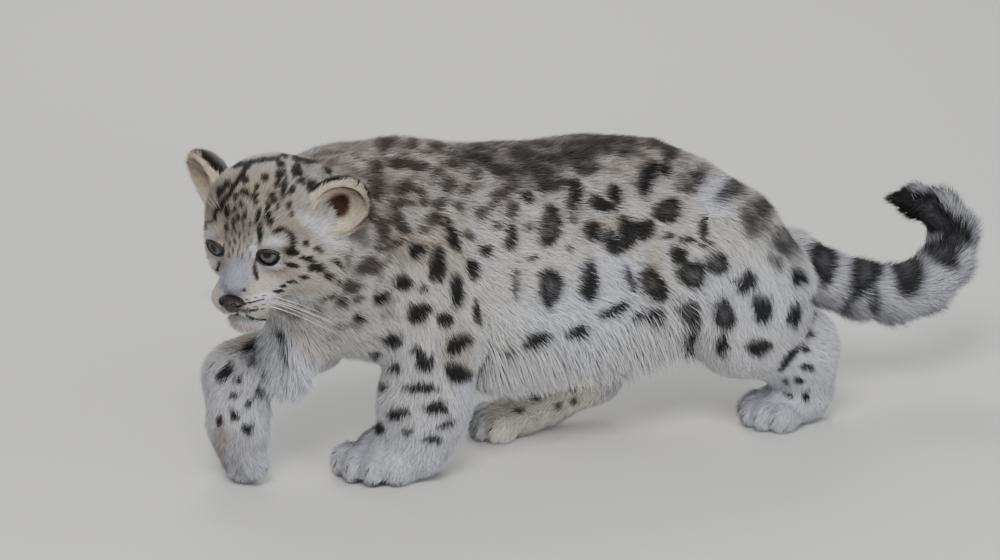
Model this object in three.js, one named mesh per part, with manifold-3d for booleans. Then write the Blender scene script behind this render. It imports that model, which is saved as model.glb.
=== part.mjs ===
// Snow leopard cub, walking, as a still life-size model. Millimetres, +Z up.
// The head looks along -X and the tail lies along +X; -Y is the animal's own left side.
import * as THREE from 'three';
import { mergeVertices } from 'three/addons/utils/BufferGeometryUtils.js';
import Module from 'manifold-3d';

const wasm = await Module();
wasm.setup();

// Driving dimensions
const seam = 0.3; // gap left between two nodes that meet
const lockSeam = 0.6; // gap that a lock keeps from another node, wider because both bend
const floorLevel = 0;
const eyeRadius = 11.5;
const lidThickness = 2.2;
const eyeOpening = { width: 16.8, height: 13, tilt: 14 };
// How far the core stays inside the tips of the long coat, half of its length at most
const loose = { tail: 11, belly: 14, chest: 11, cheek: 7, thigh: 6 };

// Trunk stations from chest to croup: x, top, bottom, half width
const trunkProfile = [
  [-128, 238, 86, 50],
  [-84, 257, 76, 57],
  [-30, 250, 58, 60],
  [30, 245, 46, 61],
  [84, 245, 54, 60],
  [128, 235, 62, 56],
  [168, 214, 70, 53],
  [206, 185, 84, 45],
  [240, 157, 88, 35],
];
const neckLine = [
  [-104, -2, 186, 76, 52],
  [-140, -13, 198, 66, 52],
  [-176, -27, 206, 54, 50],
];
const tailLine = [
  [226, 0, 129, 32, 32],
  [262, 0, 121, 31, 31],
  [296, 0, 107, 31, 31],
  [330, 0, 93, 31, 31],
  [364, 0, 84, 31, 31],
  [394, 1, 87, 30, 30],
  [416, 2, 104, 29, 29],
  [423, 3, 128, 27, 27],
  [411, 4, 149, 22, 22],
  [388, 5, 159, 18, 18],
  [367, 6, 164, 12, 12],
];

// Legs: x, y, z, radius of each joint along the bone line
const legLines = {
  front_left: [[-88, -32, 176, 42], [-66, -36, 116, 36], [-74, -34, 60, 35], [-79, -32, 32, 31]],
  front_right: [[-112, 30, 164, 40], [-142, 32, 108, 29], [-206, 24, 84, 25], [-207, 21, 52, 26]],
  hind_left: [
    [192, -26, 154, 48], [210, -34, 114, 50], [198, -40, 87, 37], [254, -38, 62, 32], [264, -36, 30, 25],
  ],
  hind_right: [
    [190, 26, 154, 46], [150, 34, 110, 44], [114, 36, 80, 34], [106, 36, 40, 23], [68, 34, 24, 22],
  ],
};

// Paws: middle of the foot, heading in degrees from -X, tilt of the foot, and size
const paws = {
  front_left: { x: -99, y: -12, z: 17, heading: -4, tilt: 0, length: 84, width: 60, height: 21 },
  front_right: { x: -206, y: 17, z: 34, heading: 6, tilt: -80, length: 64, width: 52, height: 21 },
  hind_left: { x: 239, y: -34, z: 15, heading: 6, tilt: 0, length: 76, width: 56, height: 18 },
  hind_right: { x: 30, y: 32, z: 14, heading: 0, tilt: 0, length: 66, width: 50, height: 17 },
};

// Head pose, and landmarks as forward, left, up from the middle of the skull
const headPlace = { x: -202, y: -38, z: 211, yaw: 37.6, pitch: -13.5, roll: -2.8 };
const eyeSpot = [30.5, 20.6, 7.2];
const eyeTurn = 13; // degrees that each eye looks outwards
const earSpot = [-12, 45, 18];
const noseSpot = [61.5, 0, -21.5];

// A frame of three unit vectors (forward, left, up) turned by yaw about Z, pitch and roll
function axesOf({ yaw = 0, pitch = 0, roll = 0 }) {
  const [y, p, r] = [yaw, pitch, roll].map(THREE.MathUtils.degToRad);
  const forward = new THREE.Vector3(-Math.cos(y) * Math.cos(p), -Math.sin(y) * Math.cos(p), Math.sin(p));
  const side = new THREE.Vector3(Math.sin(y), -Math.cos(y), 0);
  const rise = new THREE.Vector3().crossVectors(forward, side);
  const left = side.clone().multiplyScalar(Math.cos(r)).addScaledVector(rise, Math.sin(r));
  const up = rise.clone().multiplyScalar(Math.cos(r)).addScaledVector(side, -Math.sin(r));
  return [forward, left, up];
}

function frameAt(place, angles) {
  const [forward, left, up] = axesOf(angles);
  return new THREE.Matrix4().makeBasis(forward, left, up).setPosition(...place);
}

const headFrame = frameAt([headPlace.x, headPlace.y, headPlace.z], headPlace);
const inHead = (f, l, u) => new THREE.Vector3(f, l, u).applyMatrix4(headFrame);

// Masses of the body. Each gives the distance from a point to its surface, negative inside.
function limb(from, to, blend) {
  const [ax, ay, az, ah, aw = ah] = from;
  const [bx, by, bz, bh, bw = bh] = to;
  const run = [bx - ax, by - ay, bz - az];
  const lengthSq = run[0] ** 2 + run[1] ** 2 + run[2] ** 2;
  const reach = Math.sqrt(lengthSq) / 2 + Math.max(ah, aw, bh, bw);
  return {
    at: [(ax + bx) / 2, (ay + by) / 2, (az + bz) / 2],
    reach,
    blend,
    value(x, y, z) {
      const along = ((x - ax) * run[0] + (y - ay) * run[1] + (z - az) * run[2]) / lengthSq;
      const t = Math.min(Math.max(along, 0), 1);
      const high = ah + (bh - ah) * t;
      const wide = aw + (bw - aw) * t;
      const dx = x - ax - run[0] * t;
      const dy = (y - ay - run[1] * t) * (high / wide);
      const dz = z - az - run[2] * t;
      return (Math.sqrt(dx * dx + dy * dy + dz * dz) - high) * Math.min(1, wide / high);
    },
  };
}

function egg(frame, centre, radii, blend) {
  const place = new THREE.Vector3(...centre).applyMatrix4(frame);
  const back = new THREE.Matrix4().makeTranslation(-centre[0], -centre[1], -centre[2])
    .multiply(frame.clone().invert()).elements;
  const [ra, rb, rc] = radii;
  return {
    at: place.toArray(),
    reach: Math.max(...radii),
    blend,
    value(x, y, z) {
      const a = back[0] * x + back[4] * y + back[8] * z + back[12];
      const b = back[1] * x + back[5] * y + back[9] * z + back[13];
      const c = back[2] * x + back[6] * y + back[10] * z + back[14];
      const near = Math.hypot(a / ra, b / rb, c / rc);
      const slope = Math.hypot(a / ra ** 2, b / rb ** 2, c / rc ** 2);
      return slope === 0 ? -Math.min(...radii) : near * (near - 1) / slope;
    },
  };
}

const chain = (line, blend) => line.slice(1).map((point, i) => limb(line[i], point, blend));
const bothSides = (frame, [f, l, u], radii, blend) =>
  [1, -1].map((side) => egg(frame, [f, side * l, u], radii, blend));

function pawMasses({ x, y, z, heading, tilt, length, width, height }) {
  const frame = frameAt([x, y, z], { yaw: heading, pitch: tilt });
  const toeSpread = width * 0.36;
  const toes = [-1, -0.36, 0.36, 1].map((across) => egg(
    frame,
    [length * (0.34 - 0.1 * across * across), toeSpread * across, -3],
    [length * 0.19, width * 0.16, 13.5],
    3,
  ));
  return [
    egg(frame, [-length * 0.1, 0, 0], [length * 0.39, width * 0.46, height], 10),
    ...toes,
  ];
}

const headMasses = [
  egg(headFrame, [-8, 0, 12], [50, 51, 49], 14), // skull
  egg(headFrame, [9, 0, 24], [30, 40, 29], 14), // forehead
  ...bothSides(headFrame, [-1, 31, -14], [36, 27, 34].map((r) => r - loose.cheek), 16), // cheeks
  egg(headFrame, [34, 0, -25], [24, 26, 20], 14), // muzzle
  ...bothSides(headFrame, [48, 11, -29], [13, 14, 13], 5), // whisker pads
  egg(headFrame, [30, 0, 2], [20, 15, 17], 10), // bridge of the nose
  egg(headFrame, [44, 0, -12], [18, 11, 10], 9),
  egg(headFrame, [41, 0, -48], [15, 16, 10], 6), // chin
  ...bothSides(headFrame, [29, 22, 17], [11, 13, 6], 10), // brows
];

// Ear frames stand on the skull: forward out of the cup, left across it, up to the tip
const earFrames = [1, -1].map((side) => {
  const up = new THREE.Vector3(-0.12, side * 0.62, 0.78).normalize();
  const out = new THREE.Vector3(0.82, side * 0.5, -0.1);
  out.addScaledVector(up, -out.dot(up)).normalize();
  const across = new THREE.Vector3().crossVectors(up, out);
  const [f, l, u] = earSpot;
  const turned = new THREE.Matrix4().makeBasis(out, across, up);
  return headFrame.clone().multiply(turned.setPosition(f, side * l, u));
});

function earMass(frame) {
  const outer = egg(frame, [0, 0, 13], [15, 23, 28], 7);
  const hollow = egg(frame, [9, 0, 17], [15, 18.5, 22], 7);
  return {
    ...outer,
    value: (x, y, z) => Math.max(outer.value(x, y, z), -hollow.value(x, y, z)),
  };
}

const trunkLine = trunkProfile.map(([x, top, tips, wide]) => {
  const bottom = tips + loose.belly;
  return [x, 0, (top + bottom) / 2, (top - bottom) / 2, wide];
});

// The bare length of the tail starts where it leaves the haunches, and its coat thins at the tip
const tailCore = tailLine.map(([x, y, z, high, wide], i) => {
  const inset = i < 2 ? 0 : Math.min(loose.tail, high / 2.4);
  return [x, y, z, high - inset, wide - inset];
});

const fleshMasses = [
  ...chain(trunkLine, 22),
  ...chain(neckLine, 22),
  ...chain(tailCore, 16),
  ...Object.values(legLines).flatMap((line) => chain(line, 16)),
  ...Object.values(paws).flatMap(pawMasses),
  egg(new THREE.Matrix4(), [-161, -4, 112], [35, 42, 52].map((r) => r - loose.chest), 24), // chest
  ...headMasses,
  ...earFrames.map(earMass),
];

// The smooth union of all masses
function flesh(x, y, z) {
  let nearest = 1e3;
  for (const mass of fleshMasses) {
    const [mx, my, mz] = mass.at;
    const away = Math.hypot(x - mx, y - my, z - mz) - mass.reach;
    if (away > nearest + mass.blend) continue;
    const d = mass.value(x, y, z);
    const meet = Math.max(mass.blend - Math.abs(nearest - d), 0) / mass.blend;
    nearest = Math.min(nearest, d) - meet * meet * mass.blend / 4;
  }
  return nearest;
}

// The zero surface of a field inside a box, by splitting each grid cube into six tetrahedra
const cubeSplit = [[0, 1, 3, 7], [0, 3, 2, 7], [0, 2, 6, 7], [0, 6, 4, 7], [0, 4, 5, 7], [0, 5, 1, 7]];
function surfaceOf(field, low, high, step) {
  const count = low.map((v, i) => Math.ceil((high[i] - v) / step) + 1);
  const at = (i, j, k) => (k * count[1] + j) * count[0] + i;
  const total = count[0] * count[1] * count[2];
  const values = new Float64Array(total);
  for (let k = 0; k < count[2]; k++) {
    for (let j = 0; j < count[1]; j++) {
      for (let i = 0; i < count[0]; i++) {
        const rim = i * j * k === 0 || i === count[0] - 1 || j === count[1] - 1 || k === count[2] - 1;
        const d = field(low[0] + i * step, low[1] + j * step, low[2] + k * step);
        values[at(i, j, k)] = rim ? Math.max(d, step) : (d === 0 ? 1e-6 : d);
      }
    }
  }
  const points = [];
  const faces = [];
  const made = new Map();
  const layer = count[0] * count[1];
  const cellOf = (n) => [n % count[0], Math.floor(n / count[0]) % count[1], Math.floor(n / layer)];
  const crossing = (a, b) => {
    const key = a < b ? a * total + b : b * total + a;
    if (!made.has(key)) {
      const t = values[a] / (values[a] - values[b]);
      const [pa, pb] = [cellOf(a), cellOf(b)];
      made.set(key, points.length);
      points.push(pa.map((v, i) => low[i] + step * (v + (pb[i] - v) * t)));
    }
    return made.get(key);
  };
  for (let k = 0; k + 1 < count[2]; k++) {
    for (let j = 0; j + 1 < count[1]; j++) {
      for (let i = 0; i + 1 < count[0]; i++) {
        const corner = (c) => at(i + (c & 1), j + ((c >> 1) & 1), k + (c >> 2));
        cubeSplit.forEach((tetra) => {
          const nodes = tetra.map(corner);
          const isOut = (n) => values[nodes[n]] >= 0;
          const order = [0, 1, 2, 3].sort((a, b) => isOut(a) - isOut(b) || a - b);
          const inside = order.filter((n) => !isOut(n)).length;
          if (inside === 0 || inside === 4) return;
          const [a, b, c, d] = order.map((n) => nodes[n]);
          const ring = inside === 1
            ? [crossing(a, b), crossing(a, c), crossing(a, d)]
            : inside === 2
              ? [crossing(a, c), crossing(a, d), crossing(b, d), crossing(b, c)]
              : [crossing(a, d), crossing(b, d), crossing(c, d)];
          const swaps = order.reduce((sum, n, p) => sum + order.slice(p + 1).filter((m) => m < n).length, 0);
          if (swaps % 2) ring.reverse();
          for (let n = 2; n < ring.length; n++) faces.push([ring[0], ring[n - 1], ring[n]]);
        });
      }
    }
  }
  return { points, faces };
}

// Quadric error of a set of planes: the upper triangle of a symmetric 4 x 4 matrix
function addPlane(quadric, [a, b, c, d], weight) {
  [a * a, a * b, a * c, a * d, b * b, b * c, b * d, c * c, c * d, d * d].forEach((v, i) => {
    quadric[i] += v * weight;
  });
}

function quadricError(q, [x, y, z]) {
  return q[0] * x * x + q[4] * y * y + q[7] * z * z + q[9]
    + 2 * (q[1] * x * y + q[2] * x * z + q[5] * y * z + q[3] * x + q[6] * y + q[8] * z);
}

// The point of least error, held near the middle of the edge where the surface is flat
function bestPoint(q, middle, hold) {
  const m = new THREE.Matrix3().set(
    q[0] + hold, q[1], q[2],
    q[1], q[4] + hold, q[5],
    q[2], q[5], q[7] + hold,
  );
  if (Math.abs(m.determinant()) < 1e-12) return middle;
  const right = new THREE.Vector3(
    hold * middle[0] - q[3],
    hold * middle[1] - q[6],
    hold * middle[2] - q[8],
  );
  return right.applyMatrix3(m.invert()).toArray();
}

const cross = (a, b) => [a[1] * b[2] - a[2] * b[1], a[2] * b[0] - a[0] * b[2], a[0] * b[1] - a[1] * b[0]];
const minus = (a, b) => [a[0] - b[0], a[1] - b[1], a[2] - b[2]];
const dot = (a, b) => a[0] * b[0] + a[1] * b[1] + a[2] * b[2];
const normalOf = (p, q, r) => cross(minus(q, p), minus(r, p));

// Collapses the cheapest edges until the surface has no more than the wanted triangles
function thinned({ points, faces }, wanted, importance = () => 1) {
  const quadrics = points.map(() => new Float64Array(10));
  const around = points.map(() => new Set());
  const stamp = new Int32Array(points.length);
  const alive = faces.map(() => true);
  let left = faces.length;
  faces.forEach((face, f) => {
    const [p, q, r] = face.map((v) => points[v]);
    const normal = normalOf(p, q, r);
    const size = Math.hypot(...normal);
    const middle = [0, 1, 2].map((axis) => (p[axis] + q[axis] + r[axis]) / 3);
    face.forEach((v) => {
      around[v].add(f);
      if (size > 1e-9) {
        const unit = normal.map((n) => n / size);
        addPlane(quadrics[v], [...unit, -dot(unit, p)], size * importance(middle));
      }
    });
  });
  const heap = [];
  const swap = (i, j) => { [heap[i], heap[j]] = [heap[j], heap[i]]; };
  const push = (item) => {
    let i = heap.push(item) - 1;
    while (i > 0 && heap[(i - 1) >> 1].cost > heap[i].cost) {
      swap(i, (i - 1) >> 1);
      i = (i - 1) >> 1;
    }
  };
  const pop = () => {
    const top = heap[0];
    const last = heap.pop();
    if (heap.length) {
      heap[0] = last;
      for (let i = 0; ;) {
        const [l, r] = [2 * i + 1, 2 * i + 2];
        let least = i;
        if (l < heap.length && heap[l].cost < heap[least].cost) least = l;
        if (r < heap.length && heap[r].cost < heap[least].cost) least = r;
        if (least === i) break;
        swap(i, least);
        i = least;
      }
    }
    return top;
  };
  const offer = (a, b) => {
    const q = quadrics[a].map((v, i) => v + quadrics[b][i]);
    const middle = points[a].map((v, i) => (v + points[b][i]) / 2);
    const span = Math.hypot(...minus(points[a], points[b]));
    const to = bestPoint(q, middle, 1e-3 * (q[0] + q[4] + q[7]));
    if (Math.hypot(...minus(to, middle)) > span) return;
    push({ a, b, to, cost: Math.max(quadricError(q, to), 0) + 1e-4 * span ** 4, stamp: stamp[a] + stamp[b] });
  };
  const ringOf = (v) => {
    const ring = new Set();
    for (const f of around[v]) for (const n of faces[f]) if (n !== v) ring.add(n);
    return ring;
  };
  points.forEach((_, v) => ringOf(v).forEach((n) => { if (v < n) offer(v, n); }));
  while (left > wanted && heap.length) {
    const { a, b, to, stamp: made } = pop();
    if (!around[a].size || !around[b].size || made !== stamp[a] + stamp[b]) continue;
    const ringB = ringOf(b);
    const shared = [...ringOf(a)].filter((n) => ringB.has(n));
    if (!ringB.has(a) || shared.length !== 2) continue;
    const holdsBoth = (f) => faces[f].includes(a) && faces[f].includes(b);
    const kept = [...around[a], ...around[b]].filter((f) => !holdsBoth(f));
    const folds = kept.some((f) => {
      const before = normalOf(...faces[f].map((v) => points[v]));
      const after = normalOf(...faces[f].map((v) => (v === a || v === b ? to : points[v])));
      const scale = Math.hypot(...before) * Math.hypot(...after);
      return dot(before, after) < 0.35 * scale || Math.hypot(...after) < 1e-3;
    });
    if (folds) continue;
    points[a] = to;
    quadrics[a] = quadrics[a].map((v, i) => v + quadrics[b][i]);
    for (const f of around[b]) {
      if (faces[f].includes(a)) {
        alive[f] = false;
        left--;
        faces[f].forEach((v) => around[v].delete(f));
      } else {
        faces[f] = faces[f].map((v) => (v === b ? a : v));
        around[a].add(f);
      }
    }
    around[b].clear();
    stamp[a] += stamp[b] + 1;
    for (const n of ringOf(a)) offer(a, n);
  }
  return { points, faces: faces.filter((_, f) => alive[f]) };
}

// Solids for joining and cutting
function solidFrom({ points, faces }) {
  return new wasm.Manifold(new wasm.Mesh({
    numProp: 3,
    vertProperties: new Float32Array(points.flat()),
    triVerts: new Uint32Array(faces.flat()),
  }));
}

function solidOf(geometry, matrix = new THREE.Matrix4()) {
  const shape = geometry.clone().applyMatrix4(matrix);
  shape.deleteAttribute('normal');
  shape.deleteAttribute('uv');
  const merged = mergeVertices(shape, 1e-4);
  return new wasm.Manifold(new wasm.Mesh({
    numProp: 3,
    vertProperties: merged.attributes.position.array,
    triVerts: new Uint32Array(merged.index.array),
  }));
}

// A box given by two corners of a frame, grown by the same margin on every side
function block(low, high, margin = 0, frame = new THREE.Matrix4()) {
  const size = high.map((v, i) => v - low[i] + 2 * margin);
  const middle = high.map((v, i) => (v + low[i]) / 2);
  const place = frame.clone().multiply(new THREE.Matrix4().makeTranslation(...middle));
  return solidOf(new THREE.BoxGeometry(...size), place);
}

const largest = (solid) => solid.decompose().sort((a, b) => b.volume() - a.volume())[0];

// Spaces that part the body: boxes in frames of their own, and for each leg a space under a slope that
// climbs outwards from its inner face. A seam runs along their faces.
const far = 400;
const levelFrame = new THREE.Matrix4();
const legSpaces = {
  leg_front_left: { side: -1, from: -128, to: -22, inner: 3, root: 96, slope: 42 },
  leg_front_right: { side: 1, from: -186, to: -100, inner: 3, root: 98, slope: 34 },
  leg_hind_left: { side: -1, from: 152, to: 293, inner: 3, root: 84, slope: 50 },
  leg_hind_right: { side: 1, from: 72, to: 293, inner: 3, root: 80, slope: 50 },
};

function legSpace({ side, from, to, inner, root, slope }, margin) {
  const lean = THREE.MathUtils.degToRad(slope);
  const start = inner - margin;
  const top = root + margin / Math.cos(lean);
  const outline = new THREE.Shape([
    new THREE.Vector2(side * start, -far),
    new THREE.Vector2(side * far, -far),
    new THREE.Vector2(side * far, top + (far - inner) * Math.tan(lean)),
    new THREE.Vector2(side * start, top),
  ]);
  const space = new THREE.ExtrudeGeometry(outline, { depth: to - from + 2 * margin, bevelEnabled: false });
  const stand = new THREE.Matrix4().makeBasis(
    new THREE.Vector3(0, 1, 0),
    new THREE.Vector3(0, 0, 1),
    new THREE.Vector3(1, 0, 0),
  );
  return solidOf(space, stand.setPosition(from - margin, 0, 0));
}

const regions = {
  head: [[-38, -far, -60], [far, far, far], headFrame],
  neck: [[0, -far, -42], [far, far, far], frameAt([-106, -3, 176], { yaw: 10, pitch: 2 })],
  ear_left: [[-16, -24, 6], [24, 24, 60], earFrames[0]],
  ear_right: [[-16, -24, 6], [24, 24, 60], earFrames[1]],
  foot_front_left: [[-170, -far, -far], [-22, 26, 50], levelFrame],
  reach_front_right: [[-far, -20, -far], [-184, far, 116], levelFrame],
  foot_hind_right: [[-60, 3, -far], [80, far, 48], levelFrame],
  paw_front_left: [[-far, -far, -far], [-20, far, 34], levelFrame],
  paw_front_right: [[-far, -far, -far], [far, far, 50], levelFrame],
  paw_hind_left: [[190, -far, -far], [264, far, 33], levelFrame],
  paw_hind_right: [[-far, 3, -far], [62, far, 60], levelFrame],
  tail: [[294, -far, -far], [far * 2, far, far], levelFrame],
  tail_middle: [[342, -far, -far], [far * 2, far, far], levelFrame],
  tail_tip: [[330, -far, 120], [far * 2, far, far], levelFrame],
};

function region(name, margin) {
  if (legSpaces[name]) return legSpace(legSpaces[name], margin);
  const [low, high, frame] = regions[name];
  return block(low, high, margin, frame);
}

// The part of a solid inside some regions and clear of others by the seam
function parted(solid, inside, outside = []) {
  const kept = inside.reduce((sum, name) => sum.intersect(region(name, -seam / 2)), solid);
  return outside.reduce((sum, name) => sum.subtract(region(name, seam / 2)), kept);
}

// The skin inside a box of space, as a solid of about so many triangles
function fleshIn(low, high, step, wanted) {
  return solidFrom(thinned(surfaceOf(flesh, low, high, step), wanted));
}

const overFloor = block([-far * 2, -far, floorLevel], [far * 2, far, far]);

// Where a line from inside the body leaves its skin
function skinPoint(from, direction, reach = 90) {
  const way = new THREE.Vector3(...direction).normalize();
  let [near, away] = [0, reach];
  for (let i = 0; i < 24; i++) {
    const middle = (near + away) / 2;
    const p = way.clone().multiplyScalar(middle).add(from);
    if (flesh(p.x, p.y, p.z) < 0) near = middle;
    else away = middle;
  }
  return way.multiplyScalar(near).add(from);
}

// Head: eyes, lids, nose, nostrils and the line of the mouth
const eyeFrames = [1, -1].map((side) => {
  const [f, l, u] = eyeSpot;
  const turn = new THREE.Matrix4().makeRotationZ(side * THREE.MathUtils.degToRad(eyeTurn));
  return headFrame.clone().multiply(turn.setPosition(f, side * l, u));
});

function ball(frame, radius, detail) {
  return solidOf(new THREE.IcosahedronGeometry(radius, detail), frame);
}

// The opening between the lids: a lens that widens outwards along the line of sight
function lidOpening(frame, side) {
  const { width, height, tilt } = eyeOpening;
  const corners = 16;
  const outline = new THREE.Shape();
  for (let i = 0; i < corners; i++) {
    const angle = (i / corners) * Math.PI * 2;
    const across = Math.cos(angle) * width / 2;
    const lift = Math.sign(Math.sin(angle)) * Math.abs(Math.sin(angle)) ** 1.25 * height / 2;
    outline[i ? 'lineTo' : 'moveTo'](across, lift);
  }
  outline.closePath();
  const prism = new THREE.ExtrudeGeometry(outline, { depth: 20, bevelEnabled: false });
  // the outline's across and up become the head's left and up, and its depth the line of sight
  const stand = new THREE.Matrix4().makeBasis(
    new THREE.Vector3(0, 1, 0),
    new THREE.Vector3(0, 0, 1),
    new THREE.Vector3(1, 0, 0),
  );
  const lean = new THREE.Matrix4().makeRotationX(THREE.MathUtils.degToRad(side * tilt));
  return solidOf(prism, frame.clone().multiply(lean).multiply(stand));
}

const noseMasses = [
  egg(headFrame, noseSpot, [7, 10.5, 5], 2),
  egg(headFrame, [noseSpot[0], 0, noseSpot[2] - 5], [5, 5, 5.5], 3),
];

function unionOf(masses) {
  return (x, y, z) => masses.reduce((nearest, mass) => {
    const d = mass.value(x, y, z);
    const meet = Math.max(mass.blend - Math.abs(nearest - d), 0) / mass.blend;
    return Math.min(nearest, d) - meet * meet * mass.blend / 4;
  }, 1e3);
}

const around = (centre, reach) => [centre.map((v) => v - reach), centre.map((v) => v + reach)];
const noseCentre = inHead(...noseSpot).toArray();
const nosePad = thinned(surfaceOf(unionOf(noseMasses), ...around(noseCentre, 18), 1.6), 220);
const grownNose = {
  faces: nosePad.faces,
  points: nosePad.points.map((p) => p.map((v, i) => noseCentre[i] + (v - noseCentre[i]) * 1.05)),
};
const nostrils = [1, -1].map((side) => {
  const turn = new THREE.Matrix4().makeRotationX(side * 0.6);
  const place = new THREE.Matrix4().setPosition(noseSpot[0] + 5.5, side * 5, noseSpot[2] - 1);
  const squash = new THREE.Matrix4().makeScale(1.6, 1, 0.75);
  const stand = headFrame.clone().multiply(place).multiply(turn).multiply(squash);
  return solidOf(new THREE.IcosahedronGeometry(2.6, 1), stand);
});

// The mouth runs from under the nose down between the whisker pads and back to its corners
const mouthLine = [[60, 0.01, -33], [57, 4, -41], [50, 12, -44], [40, 18, -43], [28, 23, -39]];
function mouthGroove(side) {
  const path = new THREE.CatmullRomCurve3(mouthLine.map(([f, l, u]) => {
    const within = inHead(f * 0.6, side * l * 0.4, u);
    const aim = inHead(f, side * l, u).sub(within);
    return skinPoint(within, aim.toArray(), 40);
  }));
  const round = new THREE.Shape().absarc(0, 0, 1.5, 0, Math.PI * 2);
  const tube = new THREE.ExtrudeGeometry(round, { extrudePath: path, steps: 12, curveSegments: 3 });
  return solidOf(tube);
}

// A seeded stream of numbers from 0 to 1
function seeded(seed) {
  let state = seed;
  return () => {
    state = (state * 1664525 + 1013904223) % 4294967296;
    return state / 4294967296;
  };
}

function skinNormal(p) {
  const h = 1.5;
  return new THREE.Vector3(
    flesh(p.x + h, p.y, p.z) - flesh(p.x - h, p.y, p.z),
    flesh(p.x, p.y + h, p.z) - flesh(p.x, p.y - h, p.z),
    flesh(p.x, p.y, p.z + h) - flesh(p.x, p.y, p.z - h),
  ).normalize();
}

// A lock of hair is a flat strip with a low ridge. It starts under the skin, rises to its lift, follows
// the body as closely as it clings and sags to a point.
const lockStations = [[0, 0.5], [0.4, 1], [0.76, 0.64]]; // shares of length and of width
const lockRidge = 0.24; // of half its width
const lockBend = 7; // at most at each step towards the body
function lockSpine({ root, out, lie, length, lift, droop, sink, cling }) {
  const spine = [];
  for (const t of [...lockStations.map(([share]) => share), 1]) {
    const height = lift * Math.sin(Math.min(t * 1.3, 1) * Math.PI / 2) - sink * (1 - t) ** 3;
    const p = root.clone().addScaledVector(lie, length * (t - 0.1)).addScaledVector(out, height);
    for (let i = 0; i < 3 && cling > 0; i++) {
      const error = THREE.MathUtils.clamp(height - flesh(p.x, p.y, p.z), -lockBend, lockBend);
      p.addScaledVector(skinNormal(p), cling * error);
    }
    p.z -= droop * t * t;
    spine.push(p);
  }
  return spine;
}

// Grown by a margin, the lock is the space that a neighbour leaves free
function lockSolid({ spine, out, lie, width }, margin = 0) {
  const points = [];
  lockStations.forEach(([, share], i) => {
    const run = spine[i + 1].clone().sub(spine[Math.max(i - 1, 0)]).normalize();
    const side = new THREE.Vector3().crossVectors(run, out).normalize();
    const up = new THREE.Vector3().crossVectors(side, run).normalize();
    const half = share * width / 2;
    const ridge = half * lockRidge;
    points.push(
      spine[i].clone().addScaledVector(side, half + 2 * margin).addScaledVector(up, -ridge - margin),
      spine[i].clone().addScaledVector(up, ridge + 2 * margin),
      spine[i].clone().addScaledVector(side, -half - 2 * margin).addScaledVector(up, -ridge - margin),
    );
  });
  points.push(spine.at(-1).clone().addScaledVector(lie, 2 * margin));
  const faces = [[0, 1, 2]];
  const tip = points.length - 1;
  for (let ring = 0; ring < tip; ring += 3) {
    for (let i = 0; i < 3; i++) {
      const [a, b] = [ring + i, ring + (i + 1) % 3];
      if (ring + 3 === tip) faces.push([a, tip, b]);
      else faces.push([a, a + 3, b], [b, a + 3, b + 3]);
    }
  }
  return solidFrom({ points: points.map((p) => p.toArray()), faces });
}

// Locks grow from the skin that is met on a way out of the body, with seeded variety in each
const random = seeded(20261125);
const vary = (value, share) => value * (1 + (random() * 2 - 1) * share);
const locks = [];
function setLock(node, from, way, lieTo, { length, width, lift, face, droop = 0, sink = 7, cling = 1 }) {
  const root = skinPoint(new THREE.Vector3(...from), way);
  const out = face ? new THREE.Vector3(...face).normalize() : skinNormal(root);
  const swerve = new THREE.Vector3(random() - 0.5, random() - 0.5, random() - 0.5).multiplyScalar(0.3);
  const lie = new THREE.Vector3(...lieTo).normalize().add(swerve);
  lie.addScaledVector(out, -cling * lie.dot(out)).normalize();
  const lock = {
    node, root, out, lie, droop, sink, cling,
    length: vary(length, 0.15),
    width: vary(width, 0.12),
    lift: vary(lift, 0.18),
  };
  lock.spine = lockSpine(lock);
  locks.push(lock);
}

// Tail: rings of locks around its length, each ring staggered against the last
const tailSpine = tailCore.slice(2).map(([x, y, z]) => new THREE.Vector3(x, y, z));
const tailCurve = new THREE.CatmullRomCurve3(tailSpine);
const tailLength = tailCurve.getLength();
const tailCoat = { gap: 29, around: 5, length: 52, width: 36 };
for (let along = 4; along < tailLength; along += tailCoat.gap) {
  const share = along / tailLength;
  const place = tailCurve.getPointAt(share);
  const lie = tailCurve.getTangentAt(share);
  const rise = new THREE.Vector3(-lie.z, 0, lie.x).normalize();
  const node = place.z > 120 && place.x > 330 ? 'tail_tip' : place.x > 342 ? 'tail_middle' : 'tail_base';
  const fine = 1 - 0.4 * Math.max(0, share - 0.6) / 0.4;
  const count = share < 0.65 ? tailCoat.around : tailCoat.around - 1;
  const stagger = (Math.round(along / tailCoat.gap) % 2) / 2;
  for (let i = 0; i < count; i++) {
    const angle = (i + stagger) * Math.PI * 2 / count;
    const way = rise.clone().multiplyScalar(Math.sin(angle)).add(new THREE.Vector3(0, Math.cos(angle), 0));
    // inside the bend the locks are shorter, so that none stands off it
    const bent = Math.sin(angle) > 0.4 && place.x > 320 ? 0.72 : 1;
    setLock(node, place.toArray(), way.toArray(), lie.toArray(), {
      length: tailCoat.length * fine * bent, width: tailCoat.width * fine, lift: loose.tail * fine * bent,
    });
  }
}

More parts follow.
